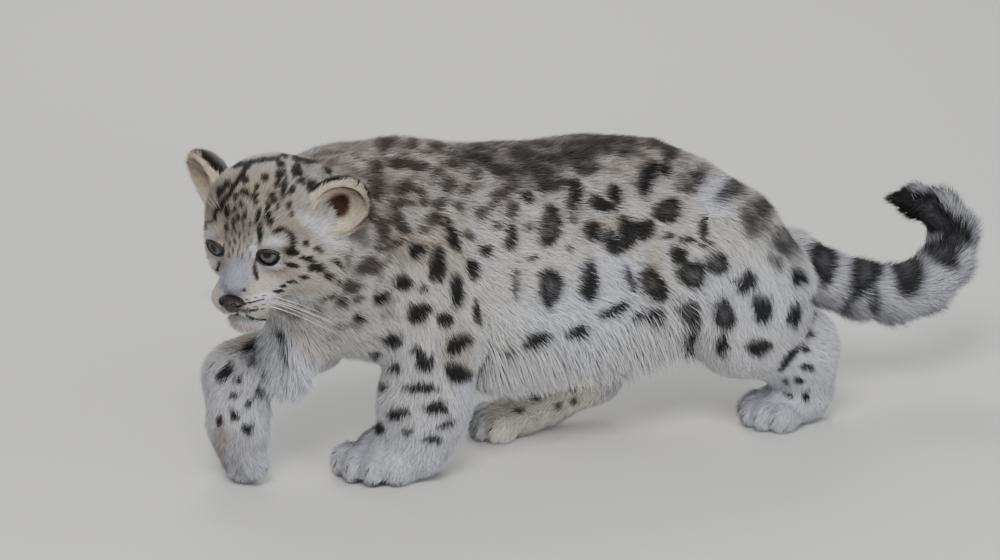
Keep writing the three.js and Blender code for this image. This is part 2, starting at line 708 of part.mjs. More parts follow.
// Cheek ruff: three rows on each side, each over the roots of the next, that sweep back and down
const headWay = (f, l, u) => inHead(f, l, u).sub(inHead(0, 0, 0)).toArray();
const ruffRows = [
  { forward: 17, first: -6, last: -50, count: 4, lift: 2.5, length: 32 },
  { forward: 3, first: 10, last: -48, count: 4, lift: 4.5, length: 36 },
  { forward: -12, first: -2, last: -44, count: 4, lift: 6.5, length: 38 },
];
for (const side of [1, -1]) {
  for (const { forward, first, last, count, lift, length } of ruffRows) {
    for (let i = 0; i < count; i++) {
      const angle = THREE.MathUtils.degToRad(first + (last - first) * i / (count - 1));
      const way = headWay(0, side * Math.cos(angle), Math.sin(angle));
      const lie = headWay(-1, side * 0.1, -0.5 + 0.3 * Math.sin(angle));
      const from = inHead(forward, side * 16, -12).toArray();
      setLock('head', from, way, lie, { length, width: 26, lift, sink: 5 });
    }
  }
}

// Chest: rows that hang down and back from the throat to between the forelegs
for (let row = 0; row < 3; row++) {
  for (let i = 0; i < 5; i++) {
    const angle = THREE.MathUtils.degToRad(-66 + 31 * (i + (row % 2) / 2));
    const way = [-Math.cos(angle), Math.sin(angle), 0.05 - 0.34 * row];
    setLock('torso', [-156, -6, 130 - 10 * row], way, [0.05 * row, 0, -1], {
      length: 42 - 6 * row, width: 27, lift: loose.chest, cling: 0.25,
    });
  }
}

// Belly: two rows of fringe on each side that hang down and sweep back, with their flats outward
const bellyRows = [
  { side: -0.8, first: -8, last: 150 },
  { side: -0.25, first: -20, last: 150 },
  { side: 0.25, first: -50, last: 124 },
  { side: 0.8, first: -62, last: 60 },
];
for (const { side, first, last } of bellyRows) {
  for (let x = first; x <= last; x += 25) {
    setLock('torso', [x, side * 30, 104], [0, side * 0.7, -1], [1.1, 0, -1], {
      length: 28, width: 32, lift: 2, face: [0, Math.sign(side), -0.2], cling: 0,
    });
  }
}

// Whiskers sweep back and down from the pads: forward and up of the root, and length
const whiskerRoots = [[50, -27, 44], [46, -33, 50], [40, -27, 52], [36, -34, 44]];
const whiskerRadii = [0.9, 0.65]; // at the root and half way, then to a point
function whisker(side, [forward, up, length]) {
  const within = inHead(forward * 0.8, side * 4, up);
  const root = skinPoint(within, headWay(0.3, side, 0), 40);
  const lie = new THREE.Vector3(...headWay(-0.45, side * 0.8, -0.4)).normalize();
  const sag = new THREE.Vector3(0, 0, -0.12 * length);
  const spine = [-0.08, 0.5, 1].map((t) => (
    root.clone().addScaledVector(lie, length * t).addScaledVector(sag, t * t)
  ));
  const across = new THREE.Vector3(0, 0, 1).cross(lie).normalize();
  const rise = new THREE.Vector3().crossVectors(lie, across);
  const points = whiskerRadii.flatMap((radius, i) => [0, 1, 2].map((corner) => {
    const angle = corner * Math.PI * 2 / 3;
    return spine[i].clone()
      .addScaledVector(across, radius * Math.cos(angle))
      .addScaledVector(rise, radius * Math.sin(angle));
  }));
  points.push(spine.at(-1));
  const faces = [[0, 2, 1]];
  for (let i = 0; i < 3; i++) {
    const next = (i + 1) % 3;
    faces.push([i, next, 3 + next], [i, 3 + next, 3 + i], [3 + i, 3 + next, 6]);
  }
  return solidFrom({ points: points.map((p) => p.toArray()), faces });
}

// Backs of the thighs, and the feathering behind the near foreleg
for (const [node, x, y] of [['leg_hind_left', 232, -38], ['leg_hind_right', 196, 38]]) {
  for (let row = 0; row < 3; row++) {
    for (const turn of [-0.6, 0.35]) {
      setLock(node, [x, y, 108 - 20 * row], [1, turn, -0.1], [0.3, turn * 0.3, -1], {
        length: 36, width: 24, lift: loose.thigh, droop: 2,
      });
    }
  }
}
for (let row = 0; row < 3; row++) {
  setLock('leg_front_left', [-68, -35, 112 - 22 * row], [1, row % 2 ? 0.5 : -0.4, 0], [0.3, 0, -1], {
    length: 32, width: 20, lift: 5, droop: 2, sink: 6,
  });
}

function finish(solid, name, color, roughness = 0.9) {
  const mesh = largest(solid).getMesh();
  const geometry = new THREE.BufferGeometry();
  geometry.setAttribute('position', new THREE.BufferAttribute(mesh.vertProperties.slice(), 3));
  geometry.setIndex(new THREE.BufferAttribute(mesh.triVerts.slice(), 1));
  geometry.computeVertexNormals();
  const material = new THREE.MeshStandardMaterial({ color, roughness, metalness: 0 });
  const piece = new THREE.Mesh(geometry, material);
  piece.name = name;
  return piece;
}

const coatColour = '#c4b8a8';
const paleColour = '#d6d6da';
const noseColour = '#4a3a36';
const eyeColour = '#5d6a78';

// Skin pieces, each from its own grid
const headFlesh = fleshIn([-292, -132, 128], [-108, 62, 296], 3, 3000);
const trunkFlesh = fleshIn([-214, -90, 34], [310, 90, 290], 9, 1450);
const frontLeftFlesh = fleshIn([-165, -100, -12], [-10, 35, 180], 5, 850);
const frontRightFlesh = fleshIn([-260, -20, -12], [-80, 100, 180], 5, 850);
const hindLeftFlesh = fleshIn([130, -100, -12], [310, 10, 190], 5, 850);
const hindRightFlesh = fleshIn([-20, -10, -12], [310, 100, 190], 5.5, 1000);
const tailFlesh = fleshIn([270, -60, 30], [480, 70, 210], 7, 420);

const earNames = ['ear_left', 'ear_right'];
let head = parted(headFlesh, ['head'], earNames);

// The thin ears are cut from skin with a finer grid, at the same planes
const ears = earNames.map((name, i) => {
  const middle = new THREE.Vector3(2, 0, 14).applyMatrix4(earFrames[i]).toArray();
  return parted(fleshIn(...around(middle, 40), 2, 950), [name]);
});
eyeFrames.forEach((frame, i) => {
  const behind = block([-far, -far, -far], [-2, far, far], 0, frame);
  const lids = ball(frame, eyeRadius + lidThickness, 3).subtract(behind);
  head = head.add(lids).subtract(lidOpening(frame, i ? -1 : 1)).subtract(ball(frame, eyeRadius + seam, 3));
});
head = head.subtract(solidFrom(grownNose));
for (const side of [1, -1]) {
  head = head.subtract(mouthGroove(side));
  for (const root of whiskerRoots) head = head.add(whisker(side, root));
}
let nose = solidFrom(nosePad);
for (const hole of nostrils) {
  nose = nose.subtract(hole);
  head = head.subtract(hole);
}

// A leg is the part of its skin piece in the space under its slope and around its foot
const legParts = {
  front_left: [frontLeftFlesh, ['leg_front_left', 'foot_front_left']],
  front_right: [frontRightFlesh, ['leg_front_right', 'reach_front_right']],
  hind_left: [hindLeftFlesh, ['leg_hind_left']],
  hind_right: [hindRightFlesh, ['leg_hind_right', 'foot_hind_right']],
};
const legSpaceNames = Object.values(legParts).flatMap(([, spaces]) => spaces);
const legSpaceOf = Object.fromEntries(Object.entries(legParts).map(([name, [, spaces]]) => {
  const shapes = spaces.map((part) => region(part, -seam / 2));
  return [name, shapes.reduce((sum, shape) => sum.add(shape))];
}));

// Every node's core in the order of the coat: its locks lie over the nodes that come later
const cores = {
  head,
  neck: parted(trunkFlesh, ['neck'], ['head', ...earNames, ...legSpaceNames]),
  torso: parted(trunkFlesh, [], ['neck', 'head', 'tail', ...earNames, ...legSpaceNames]),
};
for (const [name, [skin]] of Object.entries(legParts)) {
  const limbSolid = skin.intersect(legSpaceOf[name]).intersect(overFloor);
  cores['leg_' + name] = parted(limbSolid, [], ['paw_' + name, 'head']);
  cores['paw_' + name] = parted(limbSolid, ['paw_' + name]);
}
cores.tail_base = parted(tailFlesh, ['tail'], ['tail_middle']);
cores.tail_middle = parted(tailFlesh, ['tail_middle'], ['tail_tip']);
cores.tail_tip = parted(tailFlesh, ['tail_tip']);

// The spaces that a node's locks stay in, and those of earlier nodes that they are cut clear of
const lockSpaces = {
  head: [[], earNames],
  torso: [[], ['head', 'neck', ...earNames]],
  tail_base: [['tail'], []],
  tail_middle: [['tail_middle'], []],
  tail_tip: [['tail_tip'], []],
};
const order = Object.keys(cores);

function coated(node) {
  let solid = cores[node];
  const ownSpace = legSpaceOf[node.replace('leg_', '')];
  for (const lock of locks.filter((one) => one.node === node)) {
    const clear = parted(lockSolid(lock).intersect(overFloor), ...lockSpaces[node] ?? [[], []]);
    solid = solid.add(ownSpace ? clear.intersect(ownSpace) : clear);
  }
  for (const lock of locks) {
    if (order.indexOf(lock.node) >= order.indexOf(node)) continue;
    const space = lockSolid(lock, lockSeam).add(lockSolid(lock));
    if (!solid.intersect(space).isEmpty()) solid = solid.subtract(space);
  }
  return solid;
}

const pieces = [
  finish(nose, 'nose', noseColour, 0.5),
  finish(ball(eyeFrames[0], eyeRadius, 2), 'eye_left', eyeColour, 0.15),
  finish(ball(eyeFrames[1], eyeRadius, 2), 'eye_right', eyeColour, 0.15),
  finish(ears[0], 'ear_left', coatColour),
  finish(ears[1], 'ear_right', coatColour),
  ...order.map((node) => finish(coated(node), node, node.startsWith('paw') ? paleColour : coatColour)),
];

// The origin lies on the floor under the middle of the whole box
const cub = new THREE.Group();
cub.add(...pieces);
const middle = new THREE.Box3().setFromObject(cub).getCenter(new THREE.Vector3());
cub.position.set(-middle.x, -middle.y, -floorLevel);

export default cub;
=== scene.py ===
# Snow leopard cub, walking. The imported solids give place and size; this script gives the coat its looks.
import math
import bpy
import numpy as np
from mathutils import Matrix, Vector, kdtree


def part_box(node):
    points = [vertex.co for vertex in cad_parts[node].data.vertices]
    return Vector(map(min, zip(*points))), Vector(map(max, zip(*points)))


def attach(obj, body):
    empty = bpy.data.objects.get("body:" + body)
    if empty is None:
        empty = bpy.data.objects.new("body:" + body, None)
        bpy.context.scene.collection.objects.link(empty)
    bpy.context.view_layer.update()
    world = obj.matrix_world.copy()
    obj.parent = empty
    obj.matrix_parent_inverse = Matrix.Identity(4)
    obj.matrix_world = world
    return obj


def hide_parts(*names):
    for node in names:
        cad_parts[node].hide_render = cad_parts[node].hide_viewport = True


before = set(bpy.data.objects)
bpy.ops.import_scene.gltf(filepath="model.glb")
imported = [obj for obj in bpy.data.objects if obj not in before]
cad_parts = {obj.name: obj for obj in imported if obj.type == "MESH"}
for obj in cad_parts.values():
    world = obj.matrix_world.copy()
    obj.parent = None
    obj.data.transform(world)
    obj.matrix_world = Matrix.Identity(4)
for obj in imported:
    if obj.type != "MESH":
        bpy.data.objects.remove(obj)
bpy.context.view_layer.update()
mm = 0.001
rng = np.random.default_rng(20261125)  # fixed, so that each run grows the same coat
sides = (1, -1)  # left, right


# vectors, and frames of the cub's parts: millimetres in the model's own frame, head towards -X
def norm(v):
    return np.linalg.norm(v, axis=-1)


def unit(v):
    v = np.asarray(v, float)
    return v / np.maximum(np.linalg.norm(v, axis=-1, keepdims=True), 1e-12)


def frameAt(place, yaw=0, pitch=0, roll=0):  # rows are forward, left and up
    y, p, r = (math.radians(v) for v in (yaw, pitch, roll))
    forward = np.array([-math.cos(y) * math.cos(p), -math.sin(y) * math.cos(p), math.sin(p)])
    side = np.array([math.sin(y), -math.cos(y), 0])
    rise = np.cross(forward, side)
    axes = [forward, side * math.cos(r) + rise * math.sin(r), rise * math.cos(r) - side * math.sin(r)]
    return {"axes": np.array(axes), "place": np.array(place, float)}


def toLocal(where, p):
    return (p - where["place"]) @ where["axes"].T


def fromLocal(where, p):
    return np.asarray(p, float) @ where["axes"] + where["place"]


def alongRun(p, a, b):  # nearest share of the way from a to b, and the offset from there
    run = b - a
    t = np.clip((p - a) @ run / (run @ run), 0, 1)
    return t, p - a - run * t[:, None]


def toPath(p, line):  # distance to a line of several points
    return np.min([norm(alongRun(p, a, b)[1]) for a, b in zip(line, line[1:])], axis=0)


# build of the cub
level = {"axes": np.eye(3), "place": np.zeros(3)}  # the model's own frame
headFrame = frameAt((-202, -38, 211), yaw=37.6, pitch=-13.5, roll=-2.8)
eye = {
    "radius": 11.5, "spot": (30.5, 20.6, 7.2), "turn": 13, "width": 17.2, "height": 14.4, "tilt": 14, "lid": 1.5,
    "upper": {1: 0.88, -1: 0.7}, "lower": 0.88,  # how far the lids are open, as shares; the right one is half closed
    "looksFrom": {1: (267, 254), -1: (212.6, 248.5)},  # middle of each pupil in the picture
}
ear = {"spot": (-12, 45, 18), "bowl": (12.5, 0, 17), "bowlSize": (15, 19, 22)}
noseSpot = np.array([61.5, 0, -21.5])
muzzleTip = np.array([66, 0, -12])

trunkProfile = [  # x, top, bottom, half width
    (-128, 238, 86, 50), (-84, 257, 76, 57), (-30, 250, 58, 60), (30, 245, 46, 61), (84, 245, 54, 60),
    (128, 235, 62, 56), (168, 214, 70, 53), (206, 185, 84, 45), (240, 157, 88, 35),
]
bellyCoat, cheekCoat, chestCoat = 14, 7, 11  # long hair, outside the masses
trunkLine = [
    (x, 0, (top + low + bellyCoat) / 2, (top - low - bellyCoat) / 2, wide) for x, top, low, wide in trunkProfile]
neckLine = [(-104, -2, 186, 76, 52), (-140, -13, 198, 66, 52), (-176, -27, 206, 54, 50)]
tailReach = [  # x, y, z, radius out to the tips of the coat
    (226, 0, 127, 29), (262, 0, 120, 29), (296, 0, 107, 31), (330, 0, 93, 31), (364, 0, 84, 31), (394, 1, 87, 30),
    (416, 2, 104, 29), (423, 3, 128, 27), (411, 4, 149, 22), (388, 5, 159, 18), (367, 6, 164, 12),
]
tailCoat, tailShare = 11, 2.4  # hair's reach, at most radius / tailShare, and none at the root
tailLine = [
    (x, y, z, r - (min(tailCoat, r / tailShare) if i > 1 else 0)) for i, (x, y, z, r) in enumerate(tailReach)]
legLines = {  # x, y, z, radius
    "front_left": [(-88, -32, 176, 42), (-66, -36, 116, 36), (-74, -34, 60, 35), (-79, -32, 32, 31)],
    "front_right": [(-112, 30, 164, 40), (-142, 32, 108, 29), (-206, 24, 84, 25), (-207, 21, 52, 26)],
    "hind_left": [
        (192, -26, 154, 48), (210, -34, 114, 50), (198, -40, 87, 37), (254, -38, 62, 32), (264, -36, 30, 25)],
    "hind_right": [
        (190, 26, 154, 46), (150, 34, 110, 44), (114, 36, 80, 34), (106, 36, 40, 23), (68, 34, 24, 22)],
}
paws = {
    "front_left": {"frame": frameAt((-98, -12, 17), yaw=36), "length": 84, "width": 68, "height": 21, "heel": 9},
    "front_right": {
        "frame": frameAt((-206, 17, 34), yaw=6, pitch=-80), "length": 64, "width": 52, "height": 21, "heel": 0},
    "hind_left": {"frame": frameAt((244, -34, 15), yaw=14), "length": 74, "width": 56, "height": 18, "heel": 0},
    "hind_right": {"frame": frameAt((30, 32, 14)), "length": 66, "width": 50, "height": 17, "heel": 0},
}
toeSpread = (-1, -0.36, 0.36, 1)

# coat by part: depth from skin to the solids' surface, hair length, width, lift in degrees, tufts per cm2
coatKeys = ("depth", "length", "width", "lift", "density")
coats = {part: dict(zip(coatKeys, row)) for part, row in {
    "trunk": (5.8, 13, 1.0, 25, 80), "neck": (5.4, 10.5, 0.95, 31, 104), "chest": (6, 22, 1.05, 28, 56),
    "tail": (4.2, 16, 1.05, 33, 84), "upperLeg": (5, 11, 0.9, 26, 88), "lowerLeg": (3.6, 8.5, 0.8, 26, 106),
    "paw": (3, 8.5, 0.75, 30, 125), "skull": (3.4, 6.8, 0.65, 28, 160), "cheek": (3.3, 13, 0.75, 28, 120),
    "muzzle": (2, 5, 0.55, 22, 200), "pad": (1.8, 4.5, 0.5, 24, 240), "bridge": (1.4, 3.8, 0.45, 16, 280),
    "chin": (2.5, 7, 0.6, 28, 190), "brow": (2, 5.5, 0.55, 22, 200), "ear": (0.9, 6.5, 0.55, 24, 170),
}.items()}
massKeys = ("value", "at", "reach", "blend", "part", "group", "lie")


def limb(a, b, blend, part, group):
    def value(p):
        t, d = alongRun(p, a[:3], b[:3])
        high, wide = a[3] + (b[3] - a[3]) * t, a[4] + (b[4] - a[4]) * t
        d[:, 1] *= high / wide
        return (norm(d) - high) * np.minimum(1, wide / high)

    run = b[:3] - a[:3]
    reach = norm(run) / 2 + max(*a[3:], *b[3:])
    return dict(zip(massKeys, (value, (a + b)[:3] / 2, reach, blend, part, group, unit(run))))


def egg(where, centre, radii, blend, part, group, lie=None):
    centre, radii = np.array(centre, float), np.array(radii, float)

    def value(p):
        q = (toLocal(where, p) - centre) / radii
        near = norm(q)
        return near * (near - 1) / np.maximum(norm(q / radii), 1e-9)

    return dict(zip(massKeys, (value, fromLocal(where, centre), radii.max(), blend, part, group, lie)))


def chain(line, blend, parts, group):
    line = [np.array((*s, s[3])[:5], float) for s in line]  # where no half width is given, it is the radius
    return [limb(a, b, blend, parts[min(i, len(parts) - 1)], group) for i, (a, b) in enumerate(zip(line, line[1:]))]


def bothSides(spot, radii, blend, part):
    f, l, u = spot
    return [egg(headFrame, (f, side * l, u), radii, blend, part, "head") for side in sides]


def earFrame(side):
    up = unit([-0.12, side * 0.62, 0.78])
    out = np.array([0.82, side * 0.5, -0.1])
    out = unit(out - up * (out @ up))
    f, l, u = ear["spot"]
    return {"axes": np.array([out, np.cross(up, out), up]) @ headFrame["axes"],
            "place": fromLocal(headFrame, (f, side * l, u))}


ears = [earFrame(side) for side in sides]


def earMass(where):
    outer = egg(where, (0, 0, 13), (15, 23, 28), 7, "ear", "ear", where["axes"][2])
    bowl = egg(where, ear["bowl"], ear["bowlSize"], 7, "ear", "ear")
    depth = coats["ear"]["depth"] * 0.8
    shell = outer["value"]
    # depth is taken off the back alone, so that the thin ear keeps some flesh
    return {**outer, "value": lambda p: np.maximum(shell(p), depth - bowl["value"](p))}


def toeAt(paw, a):  # middle of a toe, a from -1 at the inner one to 1
    return np.array([paw["length"] * (0.34 - 0.13 * a * a), paw["width"] * 0.36 * a, -3])


def pawMasses(name):
    paw = paws[name]
    where, length, width = paw["frame"], paw["length"], paw["width"]
    forward, up = where["axes"][0], where["axes"][2]
    soleSize, toeSize = (length * 0.43, width * 0.46, paw["height"]), (length * 0.19, width * 0.165, 13.5)
    sole = egg(where, (-length * 0.07, paw["heel"] * 0.7, 1), soleSize, 14, "paw", name, forward)
    return [sole, *[egg(where, toeAt(paw, a), toeSize, 9, "paw", name, unit(forward * 0.6 - up)) for a in toeSpread]]


masses = [
    *chain(trunkLine, 22, ["trunk"], "body"),
    *chain(neckLine, 22, ["neck"], "body"),
    *chain(tailLine, 16, ["trunk", "tail"], "tail"),
    *[m for name, line in legLines.items() for m in chain(line, 16, ["upperLeg", "upperLeg", "lowerLeg"], name)],
    *[m for name in paws for m in pawMasses(name)],
    egg(level, (-174, -6, 113), np.array((31, 38, 50)) - chestCoat, 24, "chest", "body", np.array([0.02, 0, -1])),
    egg(headFrame, (-8, 0, 12), (50, 51, 49), 14, "skull", "head"),
    egg(headFrame, (9, 0, 24), (30, 40, 29), 14, "skull", "head"),
    *bothSides((-1, 31, -14), np.array((36, 27, 34)) - cheekCoat, 16, "cheek"),
    egg(headFrame, (34, 0, -25), (24, 26, 20), 14, "muzzle", "head"),
    *bothSides((48, 11, -29), (13, 14, 13), 5, "pad"),
    egg(headFrame, (30, 0, 2), (20, 15, 17), 10, "bridge", "head"),
    egg(headFrame, (44, 0, -12), (18, 11, 10), 9, "bridge", "head"),
    egg(headFrame, (41, 0, -48), (15, 16, 10), 6, "chin", "head"),
    *bothSides((29, 22, 17), (11, 13, 6), 10, "brow"),
    *[earMass(where) for where in ears],
]
farOff = 1e3  # distance of empty space, before any mass is met


def smoothJoin(nearest, value, blend):
    meet = np.maximum(blend - np.abs(nearest - value), 0) / blend
    return np.minimum(nearest, value) - meet * meet * blend / 4


def flesh(p, bare=1.0):  # bare 1 is the skin, 0 the surface of the solids' cores
    nearest = np.full(len(p), farOff)
    for m in masses:
        close = norm(p - m["at"]) < m["reach"] + 60
        if close.any():
            value = m["value"](p[close]) + bare * coats[m["part"]]["depth"]
            nearest[close] = smoothJoin(nearest[close], value, m["blend"])
    return nearest


def slope(field, p):
    h = 0.6
    tetra = np.array([(1, 1, 1), (1, -1, -1), (-1, 1, -1), (-1, -1, 1)]) * h
    return sum(field(p + d)[:, None] * d for d in tetra) / (4 * h * h)


# from the frame: where the solids lie in the row
eyeMiddle = sum(np.array(c) for n in ("eye_left", "eye_right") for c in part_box(n)) / 4
shift = eyeMiddle / mm - fromLocal(headFrame, (eye["spot"][0], 0, eye["spot"][2]))
shift[2] = 0
print("shift of the solids in mm", shift.round(2))


def toRow(p):
    return (np.asarray(p) + shift) * mm


# camera at the photo's angle, so far off that it hardly foreshortens; pixel is in mm at the cub
view = {
    "azimuth": -25, "elevation": 16.5, "distance": 3000, "pixel": 0.78, "target": (0, -14, 145), "size": (1000, 560)}
azimuth, elevation = math.radians(view["azimuth"]), math.radians(view["elevation"])
camBack = np.array([
    math.sin(azimuth) * math.cos(elevation), -math.cos(azimuth) * math.cos(elevation), math.sin(elevation)])
camRight = np.array([math.cos(azimuth), math.sin(azimuth), 0])
camUp = np.cross(camBack, camRight)
camPlace = np.array(view["target"]) + camBack * view["distance"]
focal = view["distance"] / view["pixel"]  # in pixels

camData = bpy.data.cameras.new("camera")
camData.sensor_width = 36
camData.lens = focal * camData.sensor_width / view["size"][0]
camera = bpy.data.objects.new("camera", camData)
camera.location = toRow(camPlace)
camera.rotation_mode = "QUATERNION"
camera.rotation_quaternion = Vector(-camBack).to_track_quat("-Z", "Y")
bpy.context.collection.objects.link(camera)
bpy.context.scene.camera = camera


def pixelRay(x, y):
    w, h = view["size"]
    return unit(-camBack + camRight * (x - w / 2) / focal - camUp * (y - h / 2) / focal)


def toPixels(p):  # place in the picture, and distance along the view
    d = p - camPlace
    away = -(d @ camBack)
    w, h = view["size"]
    return np.stack([w / 2 + focal * (d @ camRight) / away, h / 2 - focal * (d @ camUp) / away], 1), away


def pixelHits(spots):  # where lines through these pixels first meet the coat, and whether they do
    rays = np.array([pixelRay(x, y) for x, y in spots])
    clearance, steps, near = 320.0, 60, 1.5
    t = np.full(len(rays), view["distance"] - clearance)
    for _ in range(steps):
        d = flesh(camPlace + rays * t[:, None], bare=0)
        t += np.clip(d, -4, 30) * 0.9
    return camPlace + rays * t[:, None], np.abs(d) < near


# skin: the zero surface of the flesh on a grid, one vertex to each cell that it crosses
def gridSurface(field, low, high, step):
    count = np.ceil((np.array(high) - low) / step).astype(int) + 1
    axes = [low[i] + step * np.arange(count[i]) for i in range(3)]
    values = np.full(count, farOff)
    field(values, axes)
    inside = values < 0
    cells = count - 1
    total, hits = np.zeros((cells.prod(), 3)), np.zeros(cells.prod())
    quads = []
    for axis in range(3):
        a, b = [slice(None)] * 3, [slice(None)] * 3
        a[axis], b[axis] = slice(0, -1), slice(1, None)
        a, b = tuple(a), tuple(b)
        cut = np.argwhere(inside[a] != inside[b])
        u, v = (axis + 1) % 3, (axis + 2) % 3
        cut = cut[(cut[:, u] > 0) & (cut[:, v] > 0) & (cut[:, u] < cells[u]) & (cut[:, v] < cells[v])]
        fa, fb = values[a][tuple(cut.T)], values[b][tuple(cut.T)]
        point = cut.astype(float)
        point[:, axis] += fa / (fa - fb)
        around = []
        for du, dv in ((0, 0), (-1, 0), (-1, -1), (0, -1)):
            cell = cut.copy()
            cell[:, u] += du
            cell[:, v] += dv
            flat = np.ravel_multi_index(cell.T, cells)
            for k in range(3):
                total[:, k] += np.bincount(flat, point[:, k], hits.size)
            hits += np.bincount(flat, minlength=hits.size)
            around.append(flat)
        quad = np.stack(around, 1)
        quad[fa > 0] = quad[fa > 0][:, ::-1]
        quads.append(quad)
    used, faces = np.unique(np.concatenate(quads), return_inverse=True)
    return total[used] / hits[used, None] * step + low, faces.reshape(-1, 4)


def gridField(extra=None):
    def fill(values, axes):
        for m in masses:
            reach = m["reach"] + 24
            ends = [np.searchsorted(axes[i], (m["at"][i] - reach, m["at"][i] + reach)) for i in range(3)]
            if any(b <= a for a, b in ends):
                continue
            box = tuple(slice(a, b) for a, b in ends)
            grid = np.stack(np.meshgrid(*[axes[i][box[i]] for i in range(3)], indexing="ij"), -1)
            value = m["value"](grid.reshape(-1, 3)).reshape(grid.shape[:3]) + coats[m["part"]]["depth"]
            values[box] = smoothJoin(values[box], value, m["blend"])
        if extra:
            near = np.argwhere(np.abs(values) < 9)
            grid = np.stack([axes[i][near[:, i]] for i in range(3)], 1)
            values[tuple(near.T)] = extra(grid, values[tuple(near.T)])
    return fill


def toSurface(p, field, rounds=3, limit=1.5):
    for _ in range(rounds):
        d = field(p)
        g = slope(field, p)
        move = g * (d / np.maximum((g * g).sum(1), 0.05))[:, None]
        p = p - move * np.minimum(1, limit / np.maximum(norm(move), 1e-9))[:, None]
    return p


# eyes turned a little outwards, each with lids that stand round it
def eyeFrame(side):
    turn = math.radians(side * eye["turn"])
    local = np.array([(math.cos(turn), math.sin(turn), 0), (-math.sin(turn), math.cos(turn), 0), (0, 0, 1)])
    f, l, u = eye["spot"]
    return {"axes": local @ headFrame["axes"], "place": fromLocal(headFrame, (f, side * l, u)), "side": side}


eyeFrames = [eyeFrame(side) for side in sides]


def lidHeights(where, across):  # share of the half width, and how far the opening goes up and down there
    x = np.abs(across) / (eye["width"] / 2)
    curve = (eye["height"] / 2) * np.sqrt(np.maximum(1 - x ** 1.9, 0))
    upper = eye["upper"][where["side"]] - 0.14 * np.clip(across * where["side"] / 9, -1, 1)
    return x, upper * curve, eye["lower"] * curve


def eyeOpening(where, p):  # negative inside the opening between the lids
    q = toLocal(where, p)
    tilt = math.radians(where["side"] * eye["tilt"])
    across = q[:, 1] * math.cos(tilt) + q[:, 2] * math.sin(tilt)
    rise = q[:, 2] * math.cos(tilt) - q[:, 1] * math.sin(tilt)
    x, high, low = lidHeights(where, across)
    return np.where(q[:, 0] > 0, np.where(x < 1, np.abs(rise) - np.where(rise > 0, high, low), 3 * x), 5)


mouthLine = [(60, 0.01, -33), (57, 4, -41), (50, 12, -44), (40, 18, -43), (28, 23, -39)]
mouthGroove = 1.5


def faceDetail(p, value):
    for where in eyeFrames:
        q = toLocal(where, p)
        r = norm(q)
        lid = np.where(q[:, 0] > -3, r - eye["radius"] - eye["lid"], 9)
        value = smoothJoin(value, lid, 2.5)
        hole = eyeOpening(where, p)
        value = np.where(r < 30, np.maximum(value, -np.maximum(hole, eye["radius"] - 5 - r)), value)
        value = np.maximum(value, eye["radius"] + 0.15 - r)
    q = toLocal(headFrame, p)
    groove = np.minimum(toPath(q, mouthPaths[1]), toPath(q, mouthPaths[-1]))
    return np.maximum(value, mouthGroove - np.minimum(groove, 9))


def onSkin(inner, outer):  # where a line in head space leaves the skin
    a, b = fromLocal(headFrame, inner), fromLocal(headFrame, outer)
    near, far = 0.0, 1.0
    for _ in range(24):
        half = (near + far) / 2
        near, far = (half, far) if flesh((a + (b - a) * half)[None])[0] < 0 else (near, half)
    return toLocal(headFrame, a + (b - a) * near)


def smoothLine(points, count):
    points = np.array(points, float)
    t = np.linspace(0, len(points) - 1, count)
    i = np.clip(t.astype(int), 0, len(points) - 2)
    f = (t - i)[:, None]
    p0, p1 = points[np.maximum(i - 1, 0)], points[i]
    p2, p3 = points[i + 1], points[np.minimum(i + 2, len(points) - 1)]
    bend, twist = 2 * p0 - 5 * p1 + 4 * p2 - p3, 3 * p1 - p0 - 3 * p2 + p3
    return 0.5 * (2 * p1 + (p2 - p0) * f + bend * f ** 2 + twist * f ** 3)


mouthPaths = {side: smoothLine(
    [onSkin((f * 0.6, side * l * 0.4, u), (f * 1.4, side * l * 1.6, u)) for f, l, u in mouthLine], 13)
    for side in sides}

# the head is cut finer than the body; the two meshes meet behind the cheeks
headBall = {"centre": fromLocal(headFrame, (4, 0, 4)), "radius": 96, "back": -27, "low": -56}
bodyCorners = np.array([-290, -95, -6]), np.array([462, 100, 300])
bodyStep, headStep = ((2.8, 1.15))


def inFace(p, grow=0.0):
    q = toLocal(headFrame, p)
    close = norm(p - headBall["centre"]) < headBall["radius"] + grow
    return close & (q[:, 0] > headBall["back"] - grow) & (q[:, 2] > headBall["low"] - grow)


def onlyUsed(points, faces):
    used, index = np.unique(faces, return_inverse=True)
    return points[used], index.reshape(faces.shape)


bodyPoints, bodyFaces = gridSurface(gridField(), *bodyCorners, bodyStep)
bodyPoints = toSurface(bodyPoints, flesh)
bodyPoints, bodyFaces = onlyUsed(bodyPoints, bodyFaces[~inFace(bodyPoints)[bodyFaces].all(1)])
margin = headBall["radius"] + 6
headPoints, headFaces = gridSurface(
    gridField(faceDetail), headBall["centre"] - margin, headBall["centre"] + margin, headStep)
headPoints = toSurface(headPoints, lambda p: faceDetail(p, flesh(p)), 2, 0.5)
headPoints, headFaces = onlyUsed(headPoints, headFaces[inFace(headPoints, 3)[headFaces].all(1)])
skinPoints = np.concatenate([bodyPoints, headPoints])
skinFaces = np.concatenate([bodyFaces, headFaces + len(bodyPoints)])
print("skin grids: body", len(bodyFaces), "head", len(headFaces), "faces")


# which part a place belongs to, and the way the hair lies there
partNames = list(coats)
groupNames = ["body", "tail", "head", "ear", *legLines]


def groupsOf(names):
    return [groupNames.index(n) for n in names]


def isIn(group, *names):
    return np.isin(group, groupsOf(names))


